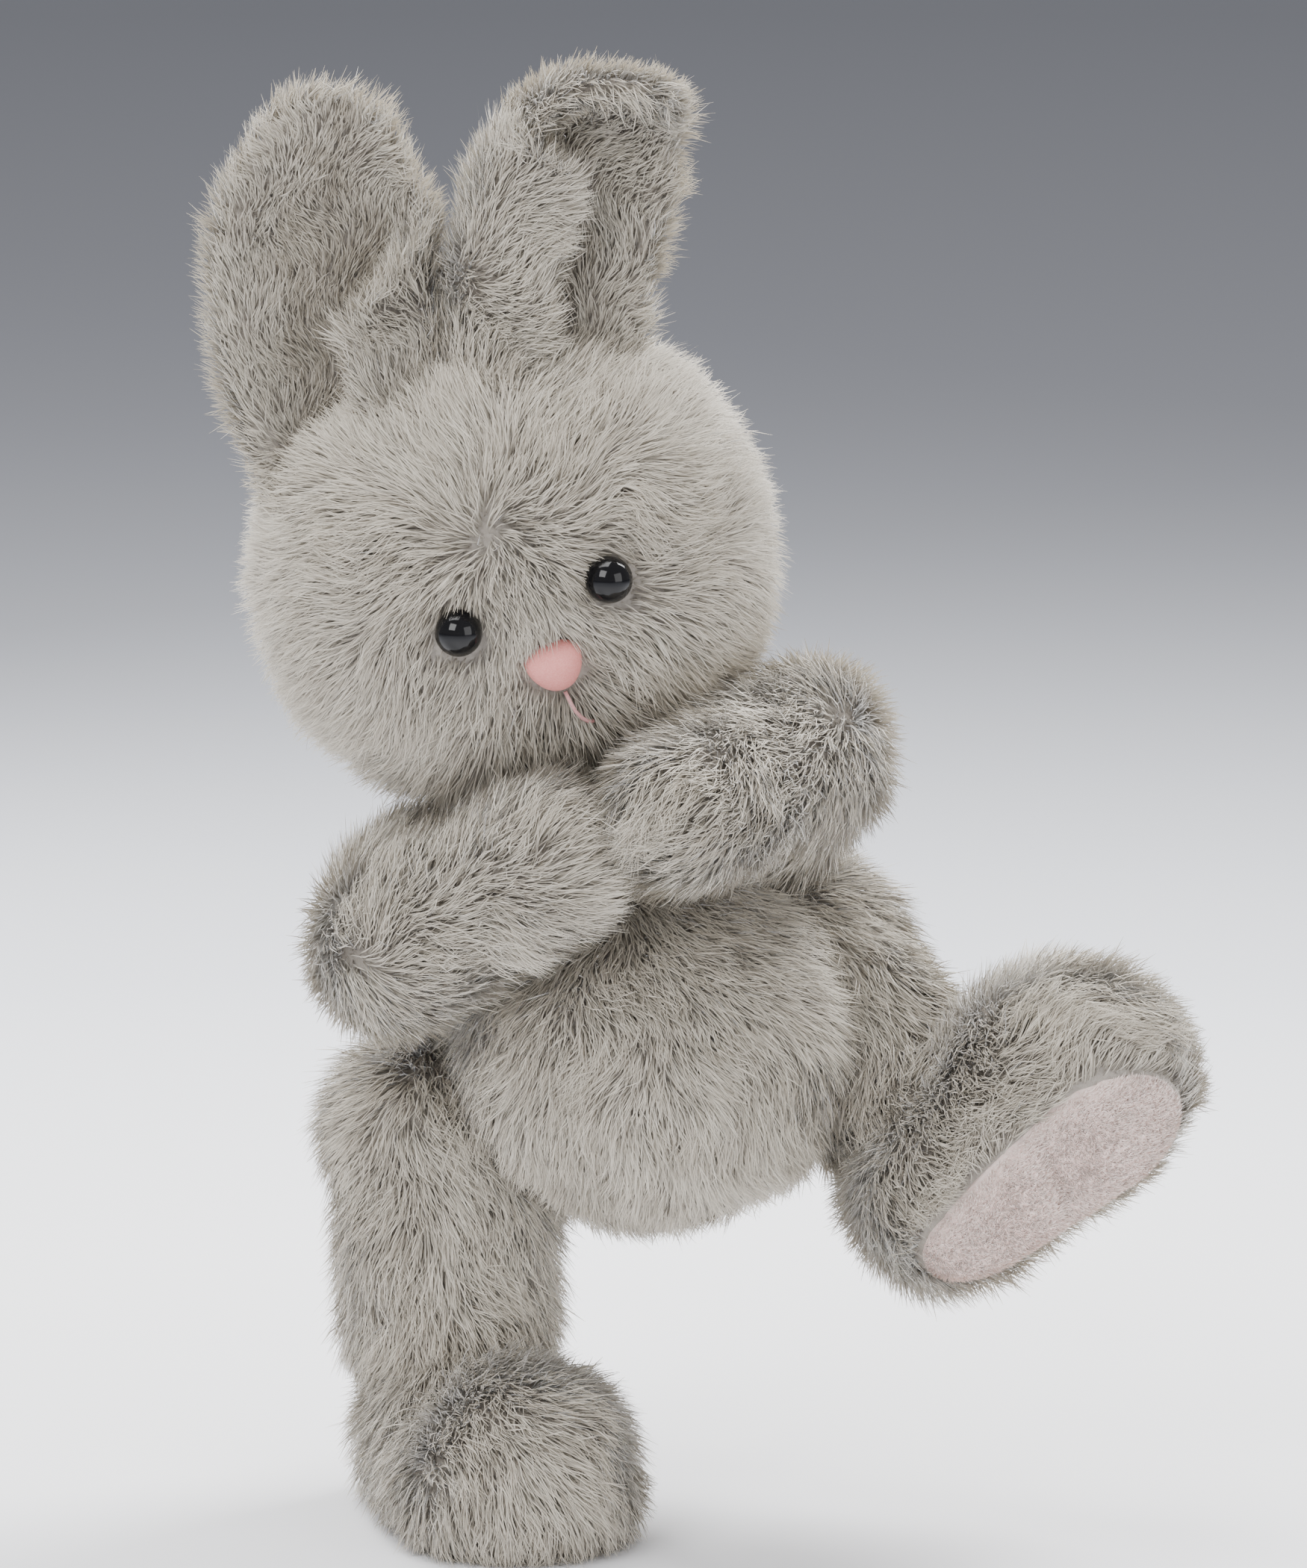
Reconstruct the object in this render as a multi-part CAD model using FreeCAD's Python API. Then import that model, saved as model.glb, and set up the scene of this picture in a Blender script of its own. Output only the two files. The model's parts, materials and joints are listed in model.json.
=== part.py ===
import FreeCAD, Part
import math
import os
from types import SimpleNamespace

from FreeCAD import Vector

# A poseable plush rabbit that stands on its right foot with the left leg swung out, both hands at
# its chin and its head leaning to its right. Fur fabric cases hold polyester stuffing, and a
# moulded plastic skeleton of spindles, forks, tongues and pins runs through them. The rabbit faces
# -Y. Right and left are the rabbit's own: its right side is towards -X. Every case is drawn without
# its pile, which is about 10 mm long. Lengths are in millimetres, angles in degrees.

os.makedirs("parts", exist_ok=True)

# ---- fabric, filling and running gaps ----
skin_thickness = 1.5      # backing of the fur fabric
fill_gap = 0.3            # between a case and its stuffing, and round hardware in the stuffing
body_gap = 0.6            # between the cases of two pieces that move on each other
limb_bulge = 0.2          # a stuffed limb swells this much midway

# ---- torso ----
belly_radius = 46.0
chest_radius = 31.0
belly_forward = 14.0      # the belly bulges in front of the hips
belly_up = 4.0
pelvis_lean = 25.0        # the torso leans to the rabbit's right over the standing leg
pelvis_turn = 10.0        # and turns to the rabbit's left
spine = Vector(-9.0, -2.0, 42.0)   # from the middle of the hips to the middle of the chest
chest_lean = 11.5
chest_turn = 5.5
tail_radius = 13.0

# ---- legs and feet ----
hip_spread = 51.0         # from the middle of the pelvis to each hip
leg_length = 51.0         # from hip to ankle
thigh_radius = 21.0
ankle_radius = 20.0
ankle_height = 46.0       # above the sole
heel_radius = 22.0
toe_radius = 27.0
toe_reach = 38.0          # from the ankle forward to the middle of the toe
heel_height = 16.0
toe_height = 15.0
sole_thickness = 1.5
standing_toe_turn = 25.0  # the standing foot points a little to the rabbit's left
raised_foot_roll = 16.0   # degrees the raised foot is rolled over its length
weight_length = 40.0
weight_width = 30.0
weight_height = 11.0
weight_forward = 12.0     # the weight's middle is this far in front of the ankle
ankle_bend_room = 14      # degrees each way that the ankle's slot allows

# ---- arms ----
shoulder_spread = 43.5    # from the middle of the chest to each shoulder
shoulder_up = 7.5
shoulder_radius = 17.0
elbow_radius = 18.0
hand_radius = 15.5
upper_arm_length = 37.0
forearm_length = 47.5
sleeve_mouth = 9.0        # the upper sleeve ends this far before the elbow
sleeve_start = 4.0        # the forearm leaves the elbow's ball here
sleeve_step = 0.8         # and is this much thinner there
shoulder_pocket_radius = 24.0   # of the flat place on the torso's side where a shoulder turns
arm_pocket_radius = 32.0        # and of the one beside the upper arm
arm_pocket_shift = 20.0

# ---- neck and head ----
neck_gap = 4.5            # between the torso's top and the head's underside
neck_flat = 2.5           # the torso's top is cut flat this far down
head_radius = 52.0
head_half_span = 8.0      # the head is a ball stretched sideways by twice this
head_lean = 19.5
head_rise = Vector(-17.5, 0, 49.5) / 52.0   # from the neck's top to the head's middle, per head radius
neck_well_radius = 14.0
neck_mouth_radius = 20.0
eye_radius = 6.0
eye_spread = 19.7
eye_drop = 5.4            # below the head's middle
eye_proud = 3.0           # the eye's middle stands this far out of the fabric
face_shift = 3.6          # the face looks a little to the rabbit's left
nose_drop = 20.6
nose_width = 15.0
nose_height = 13.6
nose_depth = 6.0
nose_corner = 3.6
nose_crown = 0.62         # of the nose's width: the radius that rounds its front
mouth_drop = 31.5         # below the head's middle
mouth_hook = 3.2
mouth_hook_drop = 3.5
stitch_radius = 0.5
stitch_lift = 0.3         # the thread lies this far off the cloth
shank_radius = 1.5
shank_length = 9.0
washer_radius = 6.0
washer_thickness = 1.2

# ---- ears ----
ear_length = 78.0
ear_root_overlap = 7.0    # how far the blade's outline runs below the hinge
ear_half_width = 24.0
ear_thickness = 8.0
ear_cup_radius = 36.0     # the ear curls about its long axis
ear_root_radius = 4.0
ear_root_span = 22.0
ear_slim = 0.62           # the ear's hinge against the limbs' forks
ear_spine_share = 0.72    # of the ear's length
ear_cup_rim = 4.0
ear_fork_depth = 7.0
ear_lift = 10.0           # the ear's hinge stands this far out of the head
ear_post_length = 25.5    # from the hinge to the flange in the head
right_ear_side = -26.0    # from the head's middle, towards +X
left_ear_side = 30.0
right_ear_lean = 14.0     # from the head's own upright, towards +X
left_ear_lean = 24.0

# ---- skeleton ----
pin_radius = 1.5
pin_clearance = 0.05      # radial, where a pin turns
pin_seat_clearance = 0.01  # radial, where a pin is pressed in
tongue_radius = 4.5
tongue_thickness = 4.0
stem_radius = 1.7
cheek_thickness = 2.0
cheek_gap = 0.25
fork_depth = 11.0
bone_radius = 2.5
journal_radius = 3.0
collar_radius = 4.0
bushing_radius = 6.0
bushing_flange_radius = 8.5
bushing_flange = 1.5
bushing_length = 8.0
shoulder_bushing_depth = 3.0   # inside the fabric, where the chest is wide enough for the flange
clip_radius = 5.0
clip_thickness = 1.2
end_play = 0.2
link_length = 11.0
plate_radius = 13.0
plate_thickness = 2.0
foot_plate_length = 44.0
foot_plate_width = 24.0
plate_heel = 12.0         # the plate reaches this far behind the ankle

fork_width = tongue_thickness + 2 * (cheek_gap + cheek_thickness)
fork_room_radius = 7.75   # of the hollow that a fork's round end needs
far = 400.0               # larger than the rabbit, for cutting tools

X, Y, Z = Vector(1, 0, 0), Vector(0, 1, 0), Vector(0, 0, 1)
nodes = {}


# ---- geometry ----
def unit(v):
    return v * (1.0 / v.Length)


def square_to(v, axis):
    """The direction nearest to v that is at right angles to axis."""
    return unit(v - axis * v.dot(axis))


def turned(v, axis, degrees):
    return FreeCAD.Rotation(axis, degrees).multVec(v)


def angle_between(a, b):
    return math.degrees(a.getAngle(b))


def placed(shape, origin, x_axis, z_axis):
    """A shape drawn about the origin, moved so that its own Z and X lie along the given axes."""
    side = unit(z_axis.cross(x_axis))
    rotation = FreeCAD.Rotation(square_to(x_axis, z_axis), side, z_axis, "ZXY")
    shape.Placement = FreeCAD.Placement(origin, rotation)
    return shape


def ball(middle, radius):
    return Part.makeSphere(radius, middle)


def rod(start, end, radius):
    along = end - start
    return Part.makeCylinder(radius, along.Length, start, along)


def disc(middle, axis, radius, thickness):
    start = middle - unit(axis) * (thickness / 2)
    return Part.makeCylinder(radius, thickness, start, axis)


def block(middle, x_axis, z_axis, size_x, size_y, size_z):
    box = Part.makeBox(size_x, size_y, size_z, Vector(-size_x / 2, -size_y / 2, -size_z / 2))
    return placed(box, middle, x_axis, z_axis)


def half_space(point, normal):
    """Everything on the side of point that normal looks to."""
    other = X if abs(normal.x) < 0.7 else Y
    return block(point + unit(normal) * (far / 2), other, unit(normal), far, far, far)


def capsule(start, start_radius, end, end_radius):
    """Two balls and the slightly bulging cone between them."""
    length = (end - start).Length
    rise = (start_radius - end_radius) / length
    run = math.sqrt(1 - rise * rise)

    def at(centre, radius, up, out):
        return Vector(radius * out, 0, centre + radius * up)

    tilt = math.asin(rise)
    low_half, high_half = (tilt - math.pi / 2) / 2, (tilt + math.pi / 2) / 2
    first = Part.Arc(
        at(0, start_radius, -1, 0),
        at(0, start_radius, math.sin(low_half), math.cos(low_half)),
        at(0, start_radius, rise, run),
    )
    side_start, side_end = at(0, start_radius, rise, run), at(length, end_radius, rise, run)
    side = Part.BSplineCurve()
    halfway = (side_start + side_end) * 0.5 + Vector(run, 0, rise) * limb_bulge
    side.interpolate([side_start, halfway, side_end])
    last = Part.Arc(
        at(length, end_radius, rise, run),
        at(length, end_radius, math.sin(high_half), math.cos(high_half)),
        at(length, end_radius, 1, 0),
    )
    spindle = Part.LineSegment(at(length, end_radius, 1, 0), at(0, start_radius, -1, 0))
    outline = Part.Wire([edge.toShape() for edge in (first, side, last, spindle)])
    solid = Part.Face(outline).revolve(Vector(0, 0, 0), Z, 360)
    along = unit(end - start)
    other = X if abs(along.x) < 0.7 else Y
    return placed(Part.Solid(solid.Shells[0]), start, other, along)


def sector(middle, axis, start, low, high, radius, thickness):
    """A slice of a disc about axis, from the angle low to high as counted from start."""
    wedge = Part.makeCylinder(radius, thickness, Vector(0, 0, -thickness / 2), Z, high - low)
    return placed(wedge, middle, turned(start, axis, low), axis)


def fused(*shapes):
    return shapes[0].fuse(list(shapes[1:])).removeSplitter()


def add(name, shape):
    solids = shape if isinstance(shape, list) else shape.Solids
    nodes[name] = solids[0] if len(solids) == 1 else Part.makeCompound(solids)


# ---- skeleton parts ----
def fork(middle, axis, along, bore_gap):
    """Two cheeks about a pin, and the block that joins them on the side that along looks to."""
    away = square_to(along, axis)
    body = block(middle + away * (fork_depth / 2), axis, away, fork_width, 2 * tongue_radius, fork_depth)
    body = body.fuse(disc(middle, axis, tongue_radius, fork_width))
    slot_end = tongue_radius + 2 * cheek_gap
    slot = block(
        middle + away * (slot_end - far / 2), axis, away,
        tongue_thickness + 2 * cheek_gap, far, far,
    )
    bore = disc(middle, axis, pin_radius + bore_gap, far)
    return body.cut([slot, bore])


def tongue(middle, axis, end):
    """A round eye that fits a fork, on a stem that runs to end."""
    eye = disc(middle, axis, tongue_radius, tongue_thickness)
    stem = rod(middle, end, stem_radius)
    return eye.fuse(stem).cut(disc(middle, axis, pin_radius + pin_clearance, far))


def trunnion(middle, axis, end):
    """A tongue whose pin is moulded in one piece with it."""
    eye = disc(middle, axis, tongue_radius, tongue_thickness)
    stem = rod(middle, end, stem_radius)
    return eye.fuse([stem, disc(middle, axis, pin_radius, fork_width)])


def pin(middle, axis):
    return disc(middle, axis, pin_radius, fork_width)


def fork_room(middle, along):
    """The hollow that a fork and what turns in it need in the stuffing."""
    away = unit(along)
    return [
        ball(middle, fork_room_radius),
        rod(middle, middle + away * (fork_depth + fill_gap), tongue_radius + cheek_thickness + 1),
    ]


def stem_slot(middle, axis, stem, low, high, radius):
    """The slot that a stem sweeps in the piece that turns about it from low to high."""
    margin = math.degrees(math.asin((stem_radius + fill_gap) / fork_room_radius))
    width = 2 * (stem_radius + body_gap)
    return sector(middle, axis, stem, -high - margin, -low + margin, radius, width)


def spindle(joint):
    """A collar, a journal and its snap ring, which turn in the joint's bushing."""
    def at(distance):
        return joint.at + joint.inward * distance

    end = joint.face + bushing_length + end_play
    collar = rod(at(joint.start - body_gap), at(joint.face - end_play), collar_radius)
    journal = rod(at(joint.start), at(end + clip_thickness), journal_radius)
    clip = rod(at(end), at(end + clip_thickness), clip_radius)
    return collar.fuse([journal, clip])


def bushing(joint):
    """The flanged tube in which a journal turns, inside the torso's fabric."""
    flange_end = joint.face + bushing_flange
    flange_start = joint.at + joint.inward * joint.face
    flange = rod(flange_start, joint.at + joint.inward * flange_end, bushing_flange_radius)
    tube_end = joint.face + bushing_length
    tube = rod(joint.at + joint.inward * joint.face, joint.at + joint.inward * tube_end, bushing_radius)
    bore = rod(joint.at, joint.at + joint.inward * far, journal_radius + pin_clearance)
    return flange.fuse(tube).cut(bore)


def spindle_room(joint):
    """The hollow in the stuffing for a bushing and the end of its journal."""
    depth = bushing_length + clip_thickness + 2 * end_play + 2 * fill_gap
    return rod(joint.at, joint.at + joint.inward * (joint.face + depth), bushing_flange_radius + fill_gap)


def spindle_hole(joint):
    """The hole in the torso's fabric for a spindle's collar."""
    return rod(joint.at, joint.at + joint.inward * joint.face, collar_radius + fill_gap)


def case_and_fill(form, holes, rooms):
    """A fabric case and its stuffing. form(inset) is the outline, drawn in by inset."""
    case = form(0).cut([form(skin_thickness)] + holes)
    fill = form(skin_thickness + fill_gap).cut(rooms)
    return largest(case), largest(fill)


def largest(shape):
    return max(shape.Solids, key=lambda solid: solid.Volume)


# ---- the rest pose, from the standing foot up ----
pelvis_side = turned(turned(X, Z, pelvis_turn), Y, -pelvis_lean)
pelvis_front = turned(turned(-Y, Z, pelvis_turn), Y, -pelvis_lean)
pelvis_up = turned(Z, Y, -pelvis_lean)
chest_side = turned(turned(X, Z, chest_turn), Y, -chest_lean)
chest_up = turned(Z, Y, -chest_lean)
head_side = turned(X, Y, -head_lean)
head_up = turned(Z, Y, -head_lean)

standing_leg_down = unit(Vector(0.045, -0.2, -0.979))
raised_leg_down = unit(Vector(0.53, -0.5, -0.685))
right_ankle = Z * ankle_height
right_hip = right_ankle - standing_leg_down * leg_length
pelvis = right_hip + pelvis_side * hip_spread
left_hip = pelvis + pelvis_side * hip_spread
left_ankle = left_hip + raised_leg_down * leg_length

belly = pelvis + pelvis_up * belly_up + pelvis_front * belly_forward
chest = pelvis + spine
shoulders = chest + Z * shoulder_up + Y * 2.0
neck_foot = chest + Z * chest_radius
neck_tilt_middle = neck_foot + Z * (fork_depth + 2.0)
neck_nod_middle = neck_tilt_middle + head_up * link_length
head = neck_foot + Z * neck_gap + head_rise * head_radius


# ---- torso ----
hip_start = thigh_radius + body_gap
shoulder_start = shoulder_radius + body_gap
right_upper_arm = unit(Vector(-6, -37, -7))
left_upper_arm = unit(Vector(11, -26, 21))
right_shoulder = shoulders - chest_side * shoulder_spread
left_shoulder = shoulders + chest_side * shoulder_spread


def torso_joint(at, inward, start, sunk):
    """A turning joint whose spindle enters the torso at start and its bushing a little deeper."""
    return SimpleNamespace(at=at, inward=inward, start=start, face=start + skin_thickness + sunk)


torso_joints = [
    torso_joint(right_hip, pelvis_side, hip_start, fill_gap),
    torso_joint(left_hip, -pelvis_side, hip_start, fill_gap),
    torso_joint(right_shoulder, chest_side, shoulder_start, shoulder_bushing_depth),
    torso_joint(left_shoulder, -chest_side, shoulder_start, shoulder_bushing_depth),
    torso_joint(neck_foot, -Z, neck_flat, fill_gap),
]
for joint, along in zip(torso_joints[2:4], (right_upper_arm, left_upper_arm)):
    joint.pocket = joint.at + square_to(along, joint.inward) * arm_pocket_shift


def torso_form(inset):
    """An egg with flat places where the thighs, the upper arms and the neck lie against it."""
    egg = capsule(belly, belly_radius - inset, chest, chest_radius - inset)
    top = neck_foot - Z * (neck_flat + inset)
    thigh_top = thigh_radius + 2 * body_gap + inset
    flats = [half_space(top, Z)] + [
        half_space(joint.at + joint.inward * (joint.start + inset), -joint.inward).common(
            half_space(joint.at + pelvis_up * thigh_top, -pelvis_up)
        )
        for joint in torso_joints[:2]
    ]
    pockets = [
        rod(
            middle + joint.inward * (joint.start + inset),
            middle - joint.inward * far,
            radius + inset,
        )
        for joint in torso_joints[2:4]
        for middle, radius in ((joint.at, shoulder_pocket_radius), (joint.pocket, arm_pocket_radius))
    ]
    return egg.cut(flats + pockets)


case, fill = case_and_fill(
    torso_form,
    [spindle_hole(joint) for joint in torso_joints],
    [spindle_room(joint) for joint in torso_joints],
)
add("torso_cover", case)
add("torso_stuffing", fill)
add("joint_bushings", [bushing(joint) for joint in torso_joints])
tail_out = unit(pelvis_front * -1.0 - pelvis_up * 0.35)
tail_middle = belly + tail_out * (belly_radius + tail_radius - 3.0)
add("tail", ball(tail_middle, tail_radius).cut(ball(belly, belly_radius + body_gap / 3)))


# ---- legs and feet ----
def build_leg(side, joint, ankle, foot_up, toe, lift_range, bend_range):
    hip, inward = joint.at, joint.inward
    down = unit(ankle - hip)
    lift_axis = unit(inward.cross(down))
    toe = square_to(toe, foot_up)
    bend_axis = unit(foot_up.cross(toe))

    def leg_form(inset):
        return capsule(hip, thigh_radius - inset, ankle, ankle_radius - inset)

    openings = [
        stem_slot(hip, lift_axis, inward, *lift_range, thigh_radius + 3),
        stem_slot(ankle, bend_axis, -foot_up, -bend_range[1], -bend_range[0], ankle_radius + 3),
    ]
    bone_room = [rod(hip, ankle, bone_radius + fill_gap)]
    rooms = openings + bone_room + fork_room(hip, down) + fork_room(ankle, square_to(-down, bend_axis))
    case, fill = case_and_fill(leg_form, openings, rooms)
    add(f"leg_cover_{side}", case)
    add(f"leg_stuffing_{side}", fill)

    shank = rod(hip + down * (fork_depth - 2), ankle - down * (fork_depth - 2), bone_radius)
    add(
        f"leg_bone_{side}",
        fused(
            fork(hip, lift_axis, down, pin_seat_clearance),
            fork(ankle, bend_axis, -down, pin_clearance),
            shank,
        ),
    )
    add(f"hip_pin_{side}", pin(hip, lift_axis))
    add(
        f"hip_spindle_{side}",
        fused(
            tongue(hip, lift_axis, hip + inward * (thigh_radius + 1)),
            spindle(joint),
        ),
    )
    build_foot(side, ankle, foot_up, toe, bend_axis)
    return SimpleNamespace(lift_axis=lift_axis, bend_axis=bend_axis, foot_up=foot_up, toe=toe)


def build_foot(side, ankle, foot_up, toe, bend_axis):
    floor = ankle - foot_up * ankle_height
    heel = floor + foot_up * heel_height
    toes = floor + foot_up * toe_height + toe * toe_reach

    def whole_form(inset):
        return capsule(heel, heel_radius - inset, toes, toe_radius - inset)

    def foot_form(inset):
        under = half_space(floor + foot_up * (sole_thickness + inset), -foot_up)
        return whole_form(inset).cut([under, ball(ankle, ankle_radius + body_gap + inset)])

    plate_top = floor + foot_up * (ankle_height - ankle_radius - body_gap - skin_thickness - fill_gap)
    boss_end = plate_top - foot_up * (bushing_length / 2)
    journal_end = boss_end - foot_up * end_play
    link = fused(
        trunnion(ankle, bend_axis, journal_end - foot_up * (clip_thickness / 2)),
        disc(journal_end - foot_up * (clip_thickness / 2), foot_up, collar_radius, clip_thickness),
    )
    add(f"ankle_link_{side}", link)

    plate_low = boss_end + foot_up * (plate_thickness / 2)
    plate_middle = plate_low + toe * (foot_plate_length / 2 - plate_heel)
    plate = block(plate_middle, toe, foot_up, foot_plate_length, foot_plate_width, plate_thickness)
    boss = rod(plate_top, boss_end, bushing_radius)
    journal_bore = rod(ankle, floor, stem_radius + pin_clearance)
    add(f"foot_plate_{side}", fused(plate, boss).cut(journal_bore))

    plate_room = block(
        plate_middle, toe, foot_up, foot_plate_length + 2 * fill_gap,
        foot_plate_width + 2 * fill_gap, plate_thickness + 2 * fill_gap,
    )
    boss_room_end = boss_end - foot_up * (end_play + clip_thickness + fill_gap)
    boss_room = rod(ankle, boss_room_end, bushing_radius + fill_gap)
    stem_hole = rod(ankle, plate_top, stem_radius + body_gap)
    rooms = [plate_room, boss_room]
    if side == "right":
        weight_top = boss_end - foot_up * (end_play + clip_thickness + 2 * fill_gap)
        weight_middle = weight_top - foot_up * (weight_height / 2) + toe * weight_forward
        add(
            f"foot_weight_{side}",
            block(weight_middle, toe, foot_up, weight_length, weight_width, weight_height),
        )
        rooms.append(block(
            weight_middle, toe, foot_up, weight_length + 2 * fill_gap,
            weight_width + 2 * fill_gap, weight_height + 2 * fill_gap,
        ))
    case, fill = case_and_fill(foot_form, [stem_hole], rooms)
    add(f"foot_cover_{side}", case)
    add(f"foot_stuffing_{side}", fill)
    sole = whole_form(0).cut([
        half_space(floor, -foot_up),
        half_space(floor + foot_up * (sole_thickness - fill_gap / 3), foot_up),
    ])
    add(f"sole_pad_{side}", sole)


standing_toe = turned(-Y, Z, standing_toe_turn)
raised_toe = Vector(0.755, -0.09, 0.649)
raised_foot_up = turned(-raised_leg_down, raised_toe, -raised_foot_roll)
right_leg = build_leg(
    "right", torso_joints[0], right_ankle, Z, standing_toe,
    (-14, 25), (-ankle_bend_room, ankle_bend_room),
)
left_leg = build_leg(
    "left", torso_joints[1], left_ankle, raised_foot_up, raised_toe,
    (-1, 35), (-ankle_bend_room, ankle_bend_room),
)


# ---- arms ----
def build_arm(side, joint, along, fore_along, lift_range, bend_limit):
    shoulder, inward = joint.at, joint.inward
    reach = unit(fore_along)
    elbow = shoulder + along * upper_arm_length
    hand = elbow + reach * forearm_length
    lift_axis = unit(inward.cross(along))
    elbow_axis = unit(along.cross(reach))
    back = -along
    half_fold = (angle_between(back, reach) - bend_limit[1]) / 2
    # the crease plane at full bend, as each half of the sleeve sees it
    upper_normal = turned(back, elbow_axis, -half_fold - 90)
    fore_normal = turned(reach, elbow_axis, half_fold + 90)

    def upper_form(inset):
        sleeve = capsule(shoulder, shoulder_radius - inset, elbow, elbow_radius - inset)
        return sleeve.cut([
            half_space(elbow + back * (sleeve_mouth + inset), along),
            ball(elbow, elbow_radius + body_gap + inset),
            half_space(elbow - upper_normal * (body_gap / 2 + inset), upper_normal),
        ])

    def fore_form(inset):
        start = elbow + reach * sleeve_start
        sleeve = capsule(start, elbow_radius - sleeve_step - inset, hand, hand_radius - inset)
        fold = half_space(elbow - fore_normal * (body_gap / 2 + inset), fore_normal)
        return sleeve.cut(fold).fuse(ball(elbow, elbow_radius - inset))

    shoulder_slot = stem_slot(shoulder, lift_axis, inward, *lift_range, shoulder_radius + 3)
    elbow_slot = stem_slot(elbow, elbow_axis, back, *bend_limit, elbow_radius + 3)
    stem_hole = rod(shoulder + along * fork_depth, elbow, stem_radius + body_gap)
    case, fill = case_and_fill(
        upper_form, [shoulder_slot, stem_hole], [shoulder_slot, stem_hole] + fork_room(shoulder, along)
    )
    add(f"upper_arm_cover_{side}", case)
    add(f"upper_arm_stuffing_{side}", fill)
    add(
        f"upper_arm_bone_{side}",
        fused(
            fork(shoulder, lift_axis, along, pin_seat_clearance),
            tongue(elbow, elbow_axis, shoulder + along * (fork_depth - 2)),
        ),
    )
    add(f"shoulder_pin_{side}", pin(shoulder, lift_axis))
    add(
        f"shoulder_spindle_{side}",
        fused(
            tongue(shoulder, lift_axis, shoulder + inward * (shoulder_radius + 1)),
            spindle(joint),
        ),
    )

    bone_end = hand - reach * (hand_radius / 2)
    bone_room = rod(elbow, bone_end + reach * fill_gap, bone_radius + fill_gap)
    case, fill = case_and_fill(fore_form, [elbow_slot], [elbow_slot, bone_room] + fork_room(elbow, reach))
    add(f"forearm_cover_{side}", case)
    add(f"forearm_stuffing_{side}", fill)
    add(
        f"forearm_bone_{side}",
        fused(
            fork(elbow, elbow_axis, reach, pin_seat_clearance),
            rod(elbow + reach * (fork_depth - 2), bone_end, bone_radius),
        ),
    )
    add(f"elbow_pin_{side}", pin(elbow, elbow_axis))
    return SimpleNamespace(
        shoulder=shoulder, elbow=elbow, hand=hand, lift_axis=lift_axis, elbow_axis=elbow_axis
    )


right_arm = build_arm(
    "right", torso_joints[2], right_upper_arm, Vector(36, -15, 23), (-2, 25), (-80, 3)
)
left_arm = build_arm(
    "left", torso_joints[3], left_upper_arm, Vector(-29, -36, -8), (-2, 25), (-70, 8)
)


# ---- neck ----
add(
    "neck_spindle",
    fused(
        fork(neck_tilt_middle, Y, -Z, pin_clearance),
        spindle(torso_joints[4]),
        rod(neck_foot - Z * neck_flat, neck_tilt_middle - Z * (fork_depth - 1), collar_radius),
    ),
)
add(
    "neck_link",
    fused(
        trunnion(neck_tilt_middle, Y, neck_nod_middle - head_up * (tongue_radius / 2)),
        disc(neck_nod_middle, head_side, tongue_radius, tongue_thickness),
        disc(neck_nod_middle, head_side, pin_radius, fork_width),
    ),
)


# ---- head ----
head_left_ball = head + head_side * head_half_span
head_right_ball = head - head_side * head_half_span


def head_form(inset):
    return capsule(head_right_ball, head_radius - inset, head_left_ball, head_radius - inset)


def on_head(side, up, front):
    """The point of the head's surface over a place on its side-up plane, and the way out there."""
    middle = head + head_side * max(-head_half_span, min(head_half_span, side))
    across = side - max(-head_half_span, min(head_half_span, side))
    depth = math.sqrt(head_radius ** 2 - across ** 2 - up ** 2)
    out = unit(head_side * across + head_up * up + front * depth)
    return middle + out * head_radius, out


def safety_eye(side):
    seat, out = on_head(side, -eye_drop, -Y)
    dome = ball(seat + out * eye_proud, eye_radius).cut(half_space(seat + out * 0.6, -out))
    shank = rod(seat + out * 1.0, seat - out * shank_length, shank_radius)
    return fused(dome, shank)


def shank_hole(seat, out):
    return rod(seat + out * 2, seat - out * (skin_thickness + 1), shank_radius + fill_gap)


def washer(seat, out):
    ring = disc(seat - out * (skin_thickness + 1.5), out, washer_radius, washer_thickness)
    return ring.cut(disc(seat, out, shank_radius + pin_seat_clearance, far / 4))


def washer_room(seat, out):
    return [
        rod(seat, seat - out * (skin_thickness + 1.5 + washer_thickness), washer_radius + fill_gap),
        rod(seat, seat - out * (shank_length + fill_gap), shank_radius + fill_gap),
    ]


def rounded_triangle(width, height, corner):
    """A triangle on its point, with round corners, in the XY plane."""
    corners = [
        Vector(-width / 2 + corner, height / 2 - corner, 0),
        Vector(width / 2 - corner, height / 2 - corner, 0),
        Vector(0, -height / 2 + corner, 0),
    ]
    hull = []
    for here, there in zip(corners, corners[1:] + corners[:1]):
        way = unit(there - here)
        out = way.cross(-Z) * corner
        hull.append((here + out, there + out))
    edges = []
    for (start, end), (following, _), middle in zip(hull, hull[1:] + hull[:1], corners[1:] + corners[:1]):
        edges.append(Part.LineSegment(start, end).toShape())
        bulge = middle + unit((end + following) * 0.5 - middle) * corner
        edges.append(Part.Arc(end, bulge, following).toShape())
    return Part.Face(Part.Wire(edges))


def build_nose():
    seat, out = on_head(face_shift, -nose_drop, -Y)
    prism = rounded_triangle(nose_width, nose_height, nose_corner).extrude(Z * nose_depth)
    crown_radius = nose_width * nose_crown
    crown = Part.makeSphere(crown_radius, Vector(0, 0.5, nose_depth - crown_radius))
    pad = prism.common(crown)
    placed(pad, seat + out * 0.6, head_side, out)
    shank = rod(seat + out * 1.5, seat - out * shank_length, shank_radius)
    return fused(pad, shank), seat, out


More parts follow.
